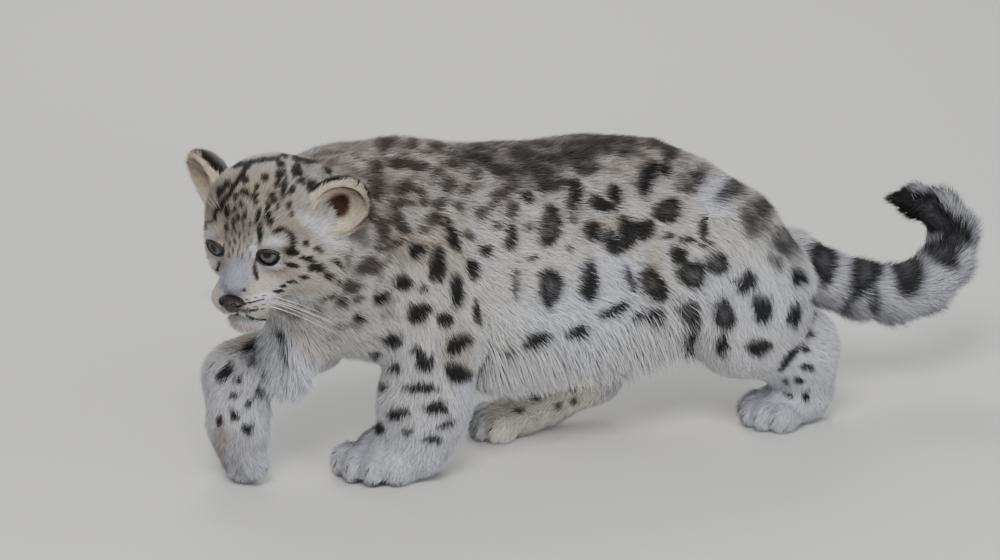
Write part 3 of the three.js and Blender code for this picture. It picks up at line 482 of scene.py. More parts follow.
def headLie(p):  # away from the nose, down over the cheeks, back under the chin
    q = toLocal(headFrame, p)
    low = np.clip(-(q[:, 2] + 4) / 26, 0, 1)[:, None]
    wide = np.clip((np.abs(q[:, 1]) - 14) / 20, 0, 1)[:, None]
    away = unit(q - muzzleTip) + np.array([-0.35, 0, 0]) - np.array([0, 0, 0.55]) * low * wide
    return unit(away) @ headFrame["axes"]


def blendParts(p):
    soft = 6.0  # mm over which one part gives way to the next
    weights = np.zeros((len(p), len(partNames)))
    groups = np.full((len(p), len(groupNames)), farOff)
    lie = np.zeros((len(p), 3))
    away = headLie(p)
    for m in masses:
        close = norm(p - m["at"]) < m["reach"] + 55
        if not close.any():
            continue
        value = m["value"](p[close]) + coats[m["part"]]["depth"]
        w = np.exp(-np.clip(value, -12, 60) / soft)
        weights[close, partNames.index(m["part"])] += w
        g = groupNames.index(m["group"])
        groups[close, g] = np.minimum(groups[close, g], value)
        way = away[close] if m["lie"] is None else np.broadcast_to(m["lie"], (close.sum(), 3))
        if m["part"] == "trunk" and m["group"] == "body":
            way = way + np.array([0, 0, -0.4])
        if m["part"] == "neck":
            way = np.broadcast_to(np.array([0.9, -0.05, -0.5]), way.shape)
        lie[close] += way * w[:, None]
    weights /= np.maximum(weights.sum(1, keepdims=True), 1e-9)
    return weights, groups.argmin(1), lie


def perPart(weights, key):
    return weights @ np.array([coats[n][key] for n in partNames])


def ripple(p, size, seed):  # smooth noise of about -1 to 1 with features of this size in mm, from a few waves
    waves = 6
    r = np.random.default_rng(seed + 77)
    total = np.zeros(len(p))
    for _ in range(waves):
        way = unit(r.normal(size=3)) * (2 * math.pi / size) * r.uniform(0.6, 1.4)
        total += np.sin(p @ way + r.uniform(0, 6.28))
    return total / math.sqrt(waves) * 0.9


def ramp(x, a, b):
    t = np.clip((x - a) / (b - a), 0, 1)
    return t * t * (3 - 2 * t)


def srgb(colour):
    c = np.array([int(colour[i:i + 2], 16) for i in (1, 3, 5)]) / 255
    return np.where(c <= 0.04045, c / 12.92, ((c + 0.055) / 1.055) ** 2.4)


def mixed(a, b, t):
    return a + (b - a) * np.asarray(t)[:, None]


# markings, each placed where the photo shows it: centre x and y in the picture, width, height and, where it
# leans, its slant in degrees
tints = {  # broad and soft, laid on before the marks
    "bridge": [(234, 279, 30, 42), (240, 262, 14, 16)],
    # of the brown patches, the last two, over the far forepaw, are partly its own brownish tone and partly painted
    # shade where that paw stands in shade
    "brown": [
        (236, 226, 34, 48), (216, 200, 16, 44, 12), (205, 268, 14, 30), (330, 170, 70, 22, 12),
        (344, 146, 60, 26, 10), (292, 306, 26, 12), (378, 200, 36, 50), (232, 164, 24, 10, -30), (236, 456, 52, 44),
        (236, 458, 44, 36),
    ],
    "tan": [
        (286, 273, 36, 12, 6), (300, 218, 24, 20), (262, 186, 50, 26), (232, 345, 40, 16, -15), (312, 345, 40, 40),
        (440, 250, 60, 60), (612, 222, 60, 16), (655, 262, 18, 50), (452, 350, 36, 40), (222, 440, 14, 40),
    ],
    "white": [
        (272, 241, 22, 10, -4), (255, 246, 6, 26, 5), (206, 233, 13, 9), (262, 297, 34, 9, -12),
        (325, 229, 62, 14, 38), (245, 320, 34, 10, 6), (211, 262, 10, 8), (255, 322, 20, 8), (290, 300, 40, 8, -10),
        (205, 160, 12, 8),
    ],
    # the far hind foot's own pale cream, made brighter still: painted light where the belly shades that foot
    "paintedLight": [(520, 418, 90, 44, -10), (575, 395, 60, 38, -30)],
    "blueWhite": [
        (285, 375, 34, 60), (466, 410, 14, 60), (258, 410, 14, 40), (400, 460, 100, 34), (775, 410, 60, 30),
        (590, 320, 130, 64, 8), (720, 200, 40, 30, 40), (770, 300, 120, 50), (610, 268, 50, 24), (270, 265, 22, 8),
    ],
}
markSets = [  # paint, the groups that the marks may lie on, their reach in depth in mm, and the marks
    ("dark", ["body", "hind_left", "front_left"], 60, [  # rosettes of flank and haunch
        (649, 181, 18, 38, 14), (668, 171, 12, 18), (577, 197, 18, 28, 20), (617, 195, 16, 20), (600, 204, 18, 16),
        (612, 208, 20, 12), (669, 212, 29, 26), (553, 227, 25, 40), (595, 231, 22, 20), (614, 244, 17, 28, -15),
        (629, 234, 20, 36), (646, 230, 20, 22), (670, 236, 12, 8), (688, 241, 20, 8), (705, 229, 13, 26),
        (679, 255, 19, 18, -20), (694, 275, 30, 30, -20), (720, 265, 21, 24), (748, 286, 19, 26, 15),
        (740, 283, 16, 6, -20), (591, 282, 20, 38), (632, 280, 8, 28, -18), (654, 283, 21, 38, -15),
        (663, 290, 14, 22), (552, 287, 22, 44), (518, 283, 8, 34), (513, 240, 14, 26), (488, 251, 16, 13, -30),
        (530, 200, 14, 11), (798, 283, 16, 20), (616, 309, 28, 13, -25), (640, 317, 16, 14), (656, 316, 18, 19),
        (690, 313, 24, 24), (727, 318, 21, 32), (763, 313, 19, 30), (792, 318, 11, 26, 12), (812, 305, 9, 10),
        (690, 338, 24, 20), (725, 348, 14, 20), (760, 349, 26, 16, -25), (579, 331, 24, 14, -28),
        (538, 340, 28, 17, -25), (510, 352, 12, 8), (572, 250, 8, 6), (534, 258, 12, 6), (712, 245, 14, 7),
        (705, 247, 8, 6),
    ]),
    ("soft", ["body", "front_left"], 60, [  # browner and hazier, over neck and shoulder
        (485, 215, 16, 15, -40), (515, 212, 13, 20), (505, 194, 20, 13), (497, 203, 12, 12), (450, 187, 18, 14),
        (470, 192, 10, 10), (418, 168, 28, 11, 5), (398, 166, 13, 12), (440, 176, 14, 11), (405, 191, 22, 14),
        (386, 148, 16, 16), (416, 146, 11, 10), (440, 151, 14, 10), (436, 221, 15, 17), (402, 206, 22, 10),
        (441, 206, 15, 13), (400, 221, 14, 14), (384, 231, 15, 22), (406, 232, 14, 10), (426, 232, 12, 9),
        (385, 249, 16, 9), (378, 190, 14, 24), (380, 170, 12, 12), (422, 194, 14, 8), (424, 205, 12, 7),
        (470, 238, 13, 12), (462, 208, 12, 10), (478, 176, 12, 10), (398, 245, 12, 8), (372, 215, 10, 14),
        (545, 192, 14, 10), (455, 167, 12, 9), (500, 227, 10, 10), (532, 228, 9, 9), (576, 218, 10, 12),
        (371, 266, 24, 18, 20), (352, 284, 20, 12), (345, 300, 14, 10), (330, 292, 12, 9), (360, 298, 10, 8),
    ]),
    ("back", ["body", "tail", "hind_left"], 45, [  # broad patches along the back
        (478, 158, 50, 25, 5), (536, 164, 66, 52, 12), (582, 147, 56, 40), (619, 143, 48, 34, -10),
        (655, 142, 34, 18, 15), (673, 153, 18, 22, 35), (694, 183, 21, 32, 45), (733, 193, 24, 34, 45),
        (759, 220, 32, 38, 20), (786, 247, 34, 30, 30), (440, 139, 44, 12), (396, 146, 26, 12), (508, 141, 44, 14),
        (560, 186, 34, 9, -8), (590, 171, 28, 12, -20), (498, 172, 20, 12), (775, 268, 20, 12, 40),
    ]),
    ("dark", ["front_left", "body"], 32, [  # near foreleg
        (438, 266, 15, 40, 8), (418, 254, 18, 20), (453, 238, 13, 36, -22), (457, 294, 16, 32, -8),
        (474, 270, 18, 20), (477, 314, 10, 28), (405, 285, 19, 16), (384, 297, 19, 13), (425, 291, 10, 8),
        (421, 314, 26, 19, -15), (445, 322, 19, 15), (361, 316, 14, 7), (396, 341, 17, 18, -20), (418, 353, 14, 11),
        (458, 347, 29, 18, -18), (426, 366, 20, 16, -10), (398, 371, 16, 11), (456, 375, 25, 20),
        (421, 391, 31, 13, -8), (435, 411, 22, 17), (400, 417, 23, 13), (444, 427, 20, 7, -10), (381, 431, 13, 13),
        (408, 434, 13, 7), (431, 441, 18, 8), (385, 391, 9, 9), (379, 353, 8, 10),
    ]),
    ("dark", ["front_right", "body"], 34, [  # far foreleg
        (249, 353, 23, 11, 10), (224, 376, 12, 20, 30), (252, 367, 13, 8), (286, 341, 8, 20, -20),
        (290, 364, 5, 22, -25), (237, 383, 11, 9), (232, 398, 10, 9), (246, 406, 9, 9), (256, 394, 9, 12),
        (235, 417, 9, 12), (247, 432, 12, 13), (268, 380, 9, 8), (221, 424, 6, 12),
    ]),
    ("dark", ["hind_left"], 32, [  # near hind leg
        (790, 357, 10, 30, 38), (809, 337, 13, 8), (806, 351, 9, 8), (808, 368, 14, 8), (800, 380, 9, 7),
        (789, 397, 10, 8), (806, 398, 8, 14), (812, 318, 7, 8), (788, 380, 7, 6),
    ]),
    ("soft", ["hind_right", "body"], 36, [  # far hind leg
        (532, 397, 16, 10, 20), (551, 388, 10, 9), (571, 389, 10, 10), (571, 402, 8, 7), (555, 407, 9, 7),
        (585, 385, 9, 9), (515, 412, 8, 7),
    ]),
    ("dark", ["tail", "body"], 34, [  # rings of the tail
        (824, 263, 26, 42), (806, 258, 13, 30, 10), (866, 274, 33, 42), (852, 299, 9, 18), (878, 300, 11, 20),
        (909, 271, 38, 46), (945, 251, 30, 31), (927, 211, 68, 34, 22), (897, 196, 28, 19, 10), (958, 230, 24, 24),
        (873, 192, 18, 9),
    ]),
    ("face", ["head"], 24, [  # face, brow and crown
        (261, 232, 7, 22, 4), (270, 212, 8, 25, -4), (274, 196, 7, 13, -20), (285, 188, 6, 26, 6),
        (293, 189, 6, 10), (259, 213, 6, 15, 15), (256, 196, 8, 11), (247, 191, 14, 7, 12), (266, 177, 8, 9),
        (247, 179, 7, 9), (281, 174, 11, 10), (278, 184, 6, 8), (297, 171, 13, 12), (281, 164, 10, 8),
        (302, 181, 9, 8), (311, 186, 10, 12), (228, 210, 6, 14), (234, 222, 4, 12), (239, 216, 4, 9),
        (246, 214, 5, 8), (242, 202, 5, 8), (237, 195, 6, 8), (290, 204, 6, 9), (293, 212, 4, 8), (279, 205, 4, 7),
        (307, 242, 8, 8, 20), (320, 248, 12, 7, 20), (293, 251, 14, 9, 10), (309, 258, 15, 8, 10),
        (318, 266, 17, 12, 15), (329, 275, 12, 8, 20), (340, 280, 9, 6), (294, 265, 16, 5, 8), (306, 277, 9, 5),
        (293, 282, 11, 4), (279, 291, 11, 4), (284, 286, 8, 3), (245, 290, 5, 4), (256, 272, 5, 16, -8),
        (338, 262, 12, 8, 30), (345, 250, 9, 8), (222, 190, 7, 12, 20), (229, 183, 8, 8), (222, 204, 6, 9),
        (216, 215, 5, 8), (226, 226, 4, 9), (300, 160, 14, 9), (322, 160, 12, 8), (345, 160, 16, 10),
        (285, 156, 10, 6), (335, 150, 20, 8), (320, 190, 10, 12), (330, 172, 12, 9), (312, 163, 14, 8),
        (258, 186, 5, 7), (236, 207, 4, 7),
    ]),
    ("fine", ["head"], 24, [(x, y, 2.0, 8, 3) for x, y in [  # flecks over the bridge of the nose
        (228, 222), (232, 231), (236, 229), (240, 233), (244, 226), (235, 240), (240, 245), (245, 238), (230, 243),
        (248, 246), (238, 252), (243, 219), (249, 232), (226, 236), (233, 250), (229, 254), (251, 222), (247, 205),
        (232, 213), (253, 240), (224, 246), (243, 254), (236, 206), (251, 254),
    ]]),
    ("fine", ["head"], 24, [  # rows of dots that the whiskers grow from
        (248 + 8 * i, 304 - 2 * i + 4.5 * j, 5, 1.8, -8) for j in (-1, 1, 2) for i in range(3)]),
]
headLines = [  # thickness, then the points of the line
    (5.6, [(276, 230), (283, 227), (290, 230), (294, 237), (294, 246)]),
    (5.5, [(217, 209), (229, 195), (241, 177), (251, 163), (266, 151)]),
    (5.0, [(236, 167), (252, 163), (266, 160), (279, 160)]),
    (2.8, [(219, 262), (217, 276), (212, 290)]),
    (2.6, [(203, 229), (207, 222), (214, 219)]),
    (2.6, [(234, 310), (246, 312), (258, 309)]),
    (2.2, [(244, 304), (254, 302), (264, 299)]),
    (2.6, [(258, 252), (256, 262), (254, 270)]),
    (2.2, [(247, 316), (256, 319), (265, 320), (274, 320)]),
]
paintKeys = ("hue", "cover", "soft", "growth")  # softness of the edge, and growth over the measured size
paints = {kind: dict(zip(paintKeys, row)) for kind, row in {  # in the order they are laid on
    "tan": ("fawn", 0.5, 0.5, 1.1), "brown": ("brown", 0.42, 0.5, 1.1), "bridge": ("bridge", 0.9, 0.45, 1.05),
    "blueWhite": ("blueWhite", 0.7, 0.5, 1.1), "white": ("white", 0.85, 0.4, 1.05),
    "paintedLight": ("paintedLight", 0.9, 0.3, 1.05), "soft": ("spotSoft", 0.92, 0.3, 1.12), "back": ("spotBack", 0.9, 0.36, 1.05),
    "dark": ("spot", 0.97, 0.2, 1.05), "face": ("spotFace", 0.96, 0.22, 1.06), "fine": ("spotSoft", 0.85, 0.3, 1.0),
}.items()}


def markPlaces(kind, groups, depth, spots):
    hits, met = pixelHits([s[:2] for s in spots])
    away = (hits - camPlace) @ -camBack
    return [{
        "kind": kind, "at": np.array((x, y), float), "half": np.array((w, h)) / 2 * paints[kind]["growth"],
        "slant": math.radians(sum(slant)), "away": d, "groups": groupsOf(groups), "depth": depth, "met": ok,
    } for (x, y, w, h, *slant), d, ok in zip(spots, away, met)]


marks = [m for kind, spots in tints.items() for m in markPlaces(kind, ["body", "tail", "head", *legLines], 40, spots)]
for markSet in markSets:
    marks += markPlaces(*markSet)
for thick, points in headLines:
    line = markPlaces("face", ["head"], 24, [(*p, thick, thick) for p in points])
    marks.append({**line[len(line) // 2], "line": np.array(points, float), "thick": thick / 2})
print("markings:", len(marks), "of which off the coat:", sum(not m["met"] for m in marks))

mirror = np.array([1, -1, 1])
bodyAndTail = set(groupsOf(["body", "tail"]))
# the far half of body, tail and head repeats the near one where it faces the camera less than this; marks of the
# head are those left of headEnd in the picture, and only those right of headMiddle are repeated
farFacing, farHeadFacing, headMiddle, headEnd = -0.02, 0.12, 256, 350


def markCover(p, facing, group):  # how much each paint covers places p
    cover = {kind: np.zeros(len(p)) for kind in paints}
    inHead = isIn(group, "head", "ear")
    frayed = ripple(p, 5, 1) * 0.6 + ripple(p, 2.2, 2) * 0.4
    for far in (False, True):
        q, side = p, facing > -0.3
        if far:
            q = np.where(inHead[:, None], fromLocal(headFrame, toLocal(headFrame, p) * mirror), p * mirror)
            drift = np.stack([ripple(p, 60, 3), np.zeros(len(p)), ripple(p, 50, 4)], 1)
            q = q + drift * np.where(inHead, 1, 5)[:, None]
            side = facing < np.where(inHead, farHeadFacing, farFacing)
        pixels, away = toPixels(q)
        for k, m in enumerate(marks):
            onHead = groupNames.index("head") in m["groups"] and m["at"][0] < headEnd
            repeated = m["at"][0] >= headMiddle if onHead else bodyAndTail & set(m["groups"])
            if far and not repeated:
                continue
            reach = 60 if "line" in m else m["half"].max() * 1.6 + 3
            close = side & (np.abs(pixels[:, 0] - m["at"][0]) < reach) & (np.abs(pixels[:, 1] - m["at"][1]) < reach)
            close &= (np.abs(away - m["away"]) < m["depth"]) & np.isin(group, m["groups"])
            if not close.any():
                continue
            if "line" in m:
                e = toPath(pixels[close], m["line"]) / m["thick"]
            else:
                u, v = (pixels[close] - m["at"]).T
                c, s = math.cos(m["slant"]), math.sin(m["slant"])
                a, b = (u * c + v * s) / m["half"][0], (v * c - u * s) / m["half"][1]
                turn = np.arctan2(b, a)
                lobes = 0.1 * np.sin(2 * turn + k) + 0.08 * np.sin(3 * turn + 2.3 * k)
                e = np.sqrt(a * a + b * b) * (1 + lobes * (m["kind"] != "fine"))
            size = m["half"].min()
            e = e + frayed[close] * min(0.28, 1.6 / size)
            soft = paints[m["kind"]]["soft"]
            alpha = 1 - ramp(e, 1 - soft, 1 + soft)
            if m["kind"] == "dark" and size > 11:
                alpha *= 1 - 0.14 * (1 - ramp(e, 0.1, 0.7))  # the bigger rosettes are a little lighter inside
            cover[m["kind"]][close] = np.maximum(cover[m["kind"]][close], alpha)
    return cover


def scattered(places, wanted, gap):  # spots where the photo shows no skin, wider apart where they are bigger
    kept = []
    for i in rng.permutation(np.flatnonzero(wanted)):
        if all(((places[i] - places[j]) ** 2).sum() > gap[i] ** 2 for j in kept):
            kept.append(i)
    return [(places[i], gap[i]) for i in kept]


skinNormals = unit(slope(flesh, skinPoints))
skinWeights, skinGroup, skinLie = blendParts(skinPoints)
height = skinPoints[:, 2]
hidden = (skinNormals @ camBack < -0.3) & isIn(skinGroup, *legLines) & (height > 55)
spotGap = 18 + 11 * np.clip((height - 60) / 70, 0, 1)
hiddenSpots = scattered(skinPoints, hidden, spotGap)
print("spots on the unseen sides of the legs:", len(hiddenSpots))

hues = {k: srgb(v) for k, v in {
    "cream": "#cbc9c6", "tan": "#99918b", "belly": "#cfced0", "white": "#dedde1", "blueWhite": "#d2d5e0",
    "spot": "#111011", "spotSoft": "#362e2b", "spotBack": "#2a2727", "spotFace": "#191717", "crown": "#9c948c",
    "faceCream": "#bdb5ad", "bridge": "#9a9cab", "brown": "#6b625b", "earDark": "#3f241b", "earCream": "#d6c8b4",
    # the brightest cream is painted light for the far hind foot under the belly
    "earBack": "#8b8580", "fawn": "#a99b8b", "tailGrey": "#b6b6be", "paintedLight": "#f3ede1",
}.items()}


def coatColour(p, n, weights, group):
    part = {name: weights[:, i] for i, name in enumerate(partNames)}
    up = np.clip((p[:, 2] - 70 - 30 * (p[:, 0] > 150)) / 180, 0, 1)
    mottle = ripple(p, 34, 5) * 0.5 + ripple(p, 12, 6) * 0.5
    back = ramp(n[:, 2] + 0.25 * mottle, 0.1, 0.95) * ramp(up, 0.3, 0.85)
    colour = mixed(hues["belly"], hues["cream"], ramp(up + 0.06 * mottle, 0.02, 0.5))
    colour = mixed(colour, hues["tan"], np.clip(back * 0.95 + 0.2 * ramp(up, 0.5, 0.9) + 0.08 * mottle, 0, 1))
    front = np.clip(part["neck"] + 0.4 * ramp(-p[:, 0], 30, 110) * (p[:, 2] > 120), 0, 1)
    colour = mixed(colour, hues["tan"], front * ramp(p[:, 2] + 8 * mottle, 130, 205) * 0.75)
    pale = np.clip(part["chest"] * 0.9 + part["paw"] + 0.45 * part["lowerLeg"], 0, 1)
    colour = mixed(colour, hues["blueWhite"], pale * 0.85)
    # painted shade: the tail grows darker where it faces down
    grey = mixed(colour, hues["tailGrey"] * (1 - 0.3 * ramp(-n[:, 2], 0, 0.9))[:, None], part["tail"])
    colour = np.where(isIn(group, "tail")[:, None], grey, colour)

    q = toLocal(headFrame, p)
    isHead = isIn(group, "head") & (part["neck"] + part["chest"] < 0.5)
    face = mixed(hues["faceCream"], hues["crown"], ramp(q[:, 2] + 5 * mottle + 0.2 * np.abs(q[:, 1]), 14, 40))
    cheekBack = ramp(-q[:, 0], -16, 14) * ramp(q[:, 2] + 4 * mottle, -26, 4)
    face = mixed(face, hues["cream"], cheekBack * 0.5)
    colour = np.where(isHead[:, None], face, colour)
    patchy = ripple(p, 10, 41) * 0.55 + ripple(p, 18, 42) * 0.55  # brown and cream flecks over neck and shoulder
    nape = np.clip(part["neck"] + 0.5 * front + 0.7 * back, 0, 1) * (p[:, 2] > 120)
    nape = np.where(isHead, 0.9 * ramp(-q[:, 0], -2, 22) * ramp(q[:, 2], -10, 15), nape)
    colour = mixed(colour, hues["brown"] * 0.42, nape * ramp(patchy, 0.15, 0.6) * 0.62)
    colour = mixed(colour, hues["cream"], nape * ramp(-patchy, 0.2, 0.8) * 0.6)

    for where in ears:
        e = toLocal(where, p)
        inEar = isIn(group, "ear") & (norm(e - (0, 0, 13)) < 34)
        bowl = norm((e - ear["bowl"]) / ear["bowlSize"])
        ahead = n @ where["axes"][0]
        inside = inEar & ((bowl < 1.12) | (ahead > 0.15)) & (ahead > -0.3)
        deep = 1 - ramp(norm((e[:, 1:] - (0.6, 12)) / (11, 14)) + 0.2 * mottle, 0.6, 1.1)
        inner = mixed(hues["earCream"], hues["earDark"], deep * 0.97)
        rim = ramp(norm(e - (-12, 0, 18)), 15, 24) * ramp(e[:, 2], -4, 6)
        outer = mixed(hues["earBack"], hues["spotFace"], rim)
        # the back shows as a thin dark line behind the pale rim
        outer = mixed(outer, hues["spotFace"], (1 - ramp(bowl, 1.2, 1.4)) * 0.75)
        colour = np.where(inEar[:, None], outer, colour)
        colour = np.where(inside[:, None], inner, colour)

    cover = markCover(p, n @ camBack, group)
    extra = np.zeros(len(p))
    fray = ripple(p, 6, 8)
    for k, (spot, gap) in enumerate(hiddenSpots):
        d = norm((p - spot) * (1, 1, (0.75, 1.2, 0.95)[k % 3]))
        close = d < 20
        size = gap * (0.25 + 0.12 * (k * 0.618 % 1))
        extra[close] = np.maximum(extra[close], 1 - ramp(d[close] + fray[close] * 1.8, size * 0.75, size * 1.2))
    for paw in paws.values():  # shade between the toes
        e = toLocal(paw["frame"], p) / (paw["length"], paw["width"], 1)
        near = (np.abs(e[:, 1]) < 0.5) & (e[:, 0] > 0.14) & (e[:, 0] < 0.62) & (np.abs(e[:, 2]) < 20)
        cleft = np.exp(-((np.abs(np.abs(e[:, 1]) - 0.125) - 0.122) / 0.024) ** 2)
        colour = mixed(colour, hues["brown"], np.where(near, cleft * 0.5 * ramp(e[:, 0], 0.14, 0.26), 0))
    cover["dark"] = np.maximum(cover["dark"], extra)
    cover["back"] = np.clip(cover["back"] * (1.02 + 0.3 * patchy), 0, 1)
    for kind, paint in paints.items():
        colour = mixed(colour, hues[paint["hue"]], cover[kind] * paint["cover"])
    return colour


# unwrap of the skin's own shape: along and round each limb, longitude and latitude on the head
patches = {  # low u, low v, width, height in the picture square
    "body": (0.02, 0.52, 0.58, 0.46), "head": (0.64, 0.60, 0.34, 0.38), "tail": (0.02, 0.34, 0.40, 0.15),
    "front_left": (0.02, 0.18, 0.2, 0.13), "front_right": (0.26, 0.18, 0.2, 0.13),
    "hind_left": (0.50, 0.34, 0.2, 0.15), "hind_right": (0.74, 0.34, 0.2, 0.15), "ear": (0.64, 0.52, 0.34, 0.05),
    "paw_front_left": (0.02, 0.02, 0.2, 0.13), "paw_front_right": (0.26, 0.02, 0.2, 0.13),
    "paw_hind_left": (0.50, 0.02, 0.2, 0.13), "paw_hind_right": (0.74, 0.02, 0.2, 0.13),
}
bodyLine = [(-205, -32, 210), (-150, -16, 195), (-100, -2, 178), *[(x, 0, z) for x, _, z, _, _ in trunkLine[1:]]]
unwrapLines = {name: np.array([s[:3] for s in line], float) for name, line in {
    "body": bodyLine, "tail": tailLine, **legLines}.items()}


def alongLine(line, p, upright):  # share of the way along, and turn about the line
    lengths = norm(np.diff(line, axis=0))
    starts = np.concatenate([[0], np.cumsum(lengths)])
    best = np.full(len(p), 1e9)
    share, turn = np.zeros(len(p)), np.zeros(len(p))
    for a, b, start, length in zip(line, line[1:], starts, lengths):
        run = (b - a) / length
        raw = (p - a) @ run
        t = np.clip(raw, 0, length)
        d = p - a - run * t[:, None]
        far = norm(d)
        side = unit(np.cross(run, upright))
        better = far < best
        best = np.where(better, far, best)
        share = np.where(better, (start + t + np.clip(raw - t, -25, 25)) / starts[-1], share)
        turn = np.where(better, np.arctan2(d @ side, d @ np.cross(side, run)), turn)
    return share, turn


def onGlobe(e):  # latitude as a share, and longitude
    e = unit(e)
    return np.arcsin(np.clip(e[:, 2], -1, 1)) / math.pi + 0.5, np.arctan2(e[:, 1], e[:, 0])


def unwrapKind(p, group):
    kind = np.array([groupNames[g] for g in group], dtype=object)
    for name, paw in paws.items():
        near = norm(p - paw["frame"]["place"]) < paw["length"] * 0.6
        kind[(kind == name) & (near if name == "front_right" else p[:, 2] < 36)] = "paw_" + name
    return kind


def unwrap(p, kind, towards=None):  # towards: turn to stay close to, so that no face spans the cut
    uv = np.zeros((len(p), 2))
    for name, (u0, v0, w, h) in patches.items():
        here = kind == name
        if not here.any():
            continue
        q = p[here]
        if name in unwrapLines:
            upright = np.array([0, 0, 1.0]) if name in ("body", "tail") else np.array([1.0, 0, 0])
            share, turn = alongLine(unwrapLines[name], q, upright)
            share = np.clip(share * 0.8 + 0.1, 0, 1)
        elif name == "head":
            share, turn = onGlobe(toLocal(headFrame, q) - (0, 0, 2))
        elif name == "ear":
            side = np.array([norm(q - where["place"]) for where in ears]).argmin(0)
            e = np.where(side[:, None] == 0, toLocal(ears[0], q), toLocal(ears[1], q))
            share = np.clip(e[:, 2] / 90 + 0.3, 0, 1)
            turn = (np.clip((e[:, 1] + 24) / 48, 0, 1) * 0.22 + 0.25 * (side * 2 + (e[:, 0] > 0)) - 0.5) * 2 * math.pi
        else:
            share, turn = onGlobe(toLocal(paws[name[4:]]["frame"], q))
        if towards is not None and name != "ear":
            turn = turn - 2 * math.pi * np.round((turn - towards[here]) / (2 * math.pi))
        uv[here, 0] = u0 + w * np.clip(turn / (2 * math.pi) + 0.5, -0.02, 1.02)
        uv[here, 1] = v0 + h * share
    return uv


def turnOf(p, kind):
    low, wide = np.array([(patches[k][0], patches[k][2]) for k in kind]).T
    return ((unwrap(p, kind)[:, 0] - low) / wide - 0.5) * 2 * math.pi


# materials; the scale of a pattern is its number of grains to the millimetre, over mm
def setInputs(tree, node, inputs):
    for key, value in inputs.items():
        if isinstance(value, bpy.types.NodeSocket):
            tree.links.new(value, node.inputs[key])
        else:
            node.inputs[key].default_value = value


def addNode(tree, kind, inputs=None, bands=(), **settings):  # bands: places and colours of a colour ramp
    node = tree.nodes.new("ShaderNode" + kind)
    for key, value in settings.items():
        setattr(node, key, value)
    while bands and len(node.color_ramp.elements) < len(bands):
        node.color_ramp.elements.new(0.5)
    for i, (at, hexColour) in enumerate(bands):
        node.color_ramp.elements[i].position = at
        node.color_ramp.elements[i].color = (*srgb(hexColour), 1)
    setInputs(tree, node, inputs or {})
    return node


def newMaterial(name):
    material = bpy.data.materials.new(name)
    material.use_nodes = True
    tree = material.node_tree
    tree.nodes.clear()
    shader = addNode(tree, "BsdfPrincipled")
    addNode(tree, "OutputMaterial", {0: shader.outputs[0]})
    return material, tree, shader


def hairMaterial(name, grains, roughness):  # fine grain keeps each soft tuft from looking like painted plastic
    material, tree, shader = newMaterial(name)
    hue = addNode(tree, "Attribute", attribute_name="hairColour")
    place = addNode(tree, "TexCoord").outputs["Object"]
    streak = addNode(tree, "TexNoise", {"Vector": place, "Scale": grains / mm, "Detail": 3.0, "Roughness": 0.6})
    tone = addNode(tree, "MapRange", {0: streak.outputs[0], 1: 0.3, 2: 0.7, 3: 0.82, 4: 1.14})
    shade = addNode(tree, "VectorMath", {0: hue.outputs["Color"], "Scale": tone.outputs[0]}, operation="SCALE")
    bump = addNode(tree, "Bump", {"Strength": 0.35, "Distance": 0.6 * mm, "Height": streak.outputs[0]})
    setInputs(tree, shader, {"Base Color": shade.outputs[0], "Normal": bump.outputs[0], "Roughness": roughness,
                             "Specular IOR Level": 0.12})
    return material


undercoat = hairMaterial("undercoat_matt_wool", 0.9, 0.85)  # crimped wool, no shine; wisps 1.1 mm apart
guardHair = hairMaterial("guard_hair_soft_matt", 1.4, 0.62)  # straight hair, a low soft shine; drawn 0.7 mm apart


def meshPiece(name, points, faces, material, nodes, colour=None, uv=None, shades=None):
    mesh = bpy.data.meshes.new(name)
    sizes = np.concatenate([np.full(len(f), f.shape[1]) for f in faces])
    loops = np.concatenate([f.reshape(-1) for f in faces])
    mesh.vertices.add(len(points))
    mesh.vertices.foreach_set("co", toRow(points).astype(np.float32).reshape(-1))
    mesh.loops.add(len(loops))
    mesh.loops.foreach_set("vertex_index", loops.astype(np.int32))
    mesh.polygons.add(len(sizes))
    mesh.polygons.foreach_set("loop_start", np.concatenate([[0], np.cumsum(sizes)[:-1]]).astype(np.int32))
    mesh.update(calc_edges=True)
    mesh.validate()
    mesh.polygons.foreach_set("use_smooth", np.full(len(mesh.polygons), True))
    if shades is not None:
        mesh.normals_split_custom_set_from_vertices(shades.astype(np.float32))
    if colour is not None:
        layer = mesh.color_attributes.new("hairColour", "FLOAT_COLOR", "POINT")
        colour = np.column_stack([colour, np.ones(len(colour))])
        layer.data.foreach_set("color", colour.astype(np.float32).reshape(-1))
    if uv is not None:
        mesh.uv_layers.new(name="OFBake").data.foreach_set("uv", uv.astype(np.float32).reshape(-1))
    mesh.materials.append(material)
    piece = bpy.data.objects.new(name, mesh)
    bpy.context.collection.objects.link(piece)
    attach(piece, "root")
    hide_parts(*nodes)


corners = skinPoints[skinFaces]
middles = corners.mean(1)
faceKind = unwrapKind(middles, blendParts(middles)[1])
skinUv = unwrap(corners.reshape(-1, 3), np.repeat(faceKind, 4), np.repeat(turnOf(middles, faceKind), 4))
underShade = 0.72  # skin and wool lie in the shade of the hair
underColour = coatColour(skinPoints, skinNormals, skinWeights, skinGroup) * underShade
fleshNodes = [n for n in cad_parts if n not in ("nose", "eye_left", "eye_right")]
meshPiece("skin", skinPoints, [skinFaces], undercoat, fleshNodes, underColour, skinUv)
print("skin:", len(skinPoints), "points")


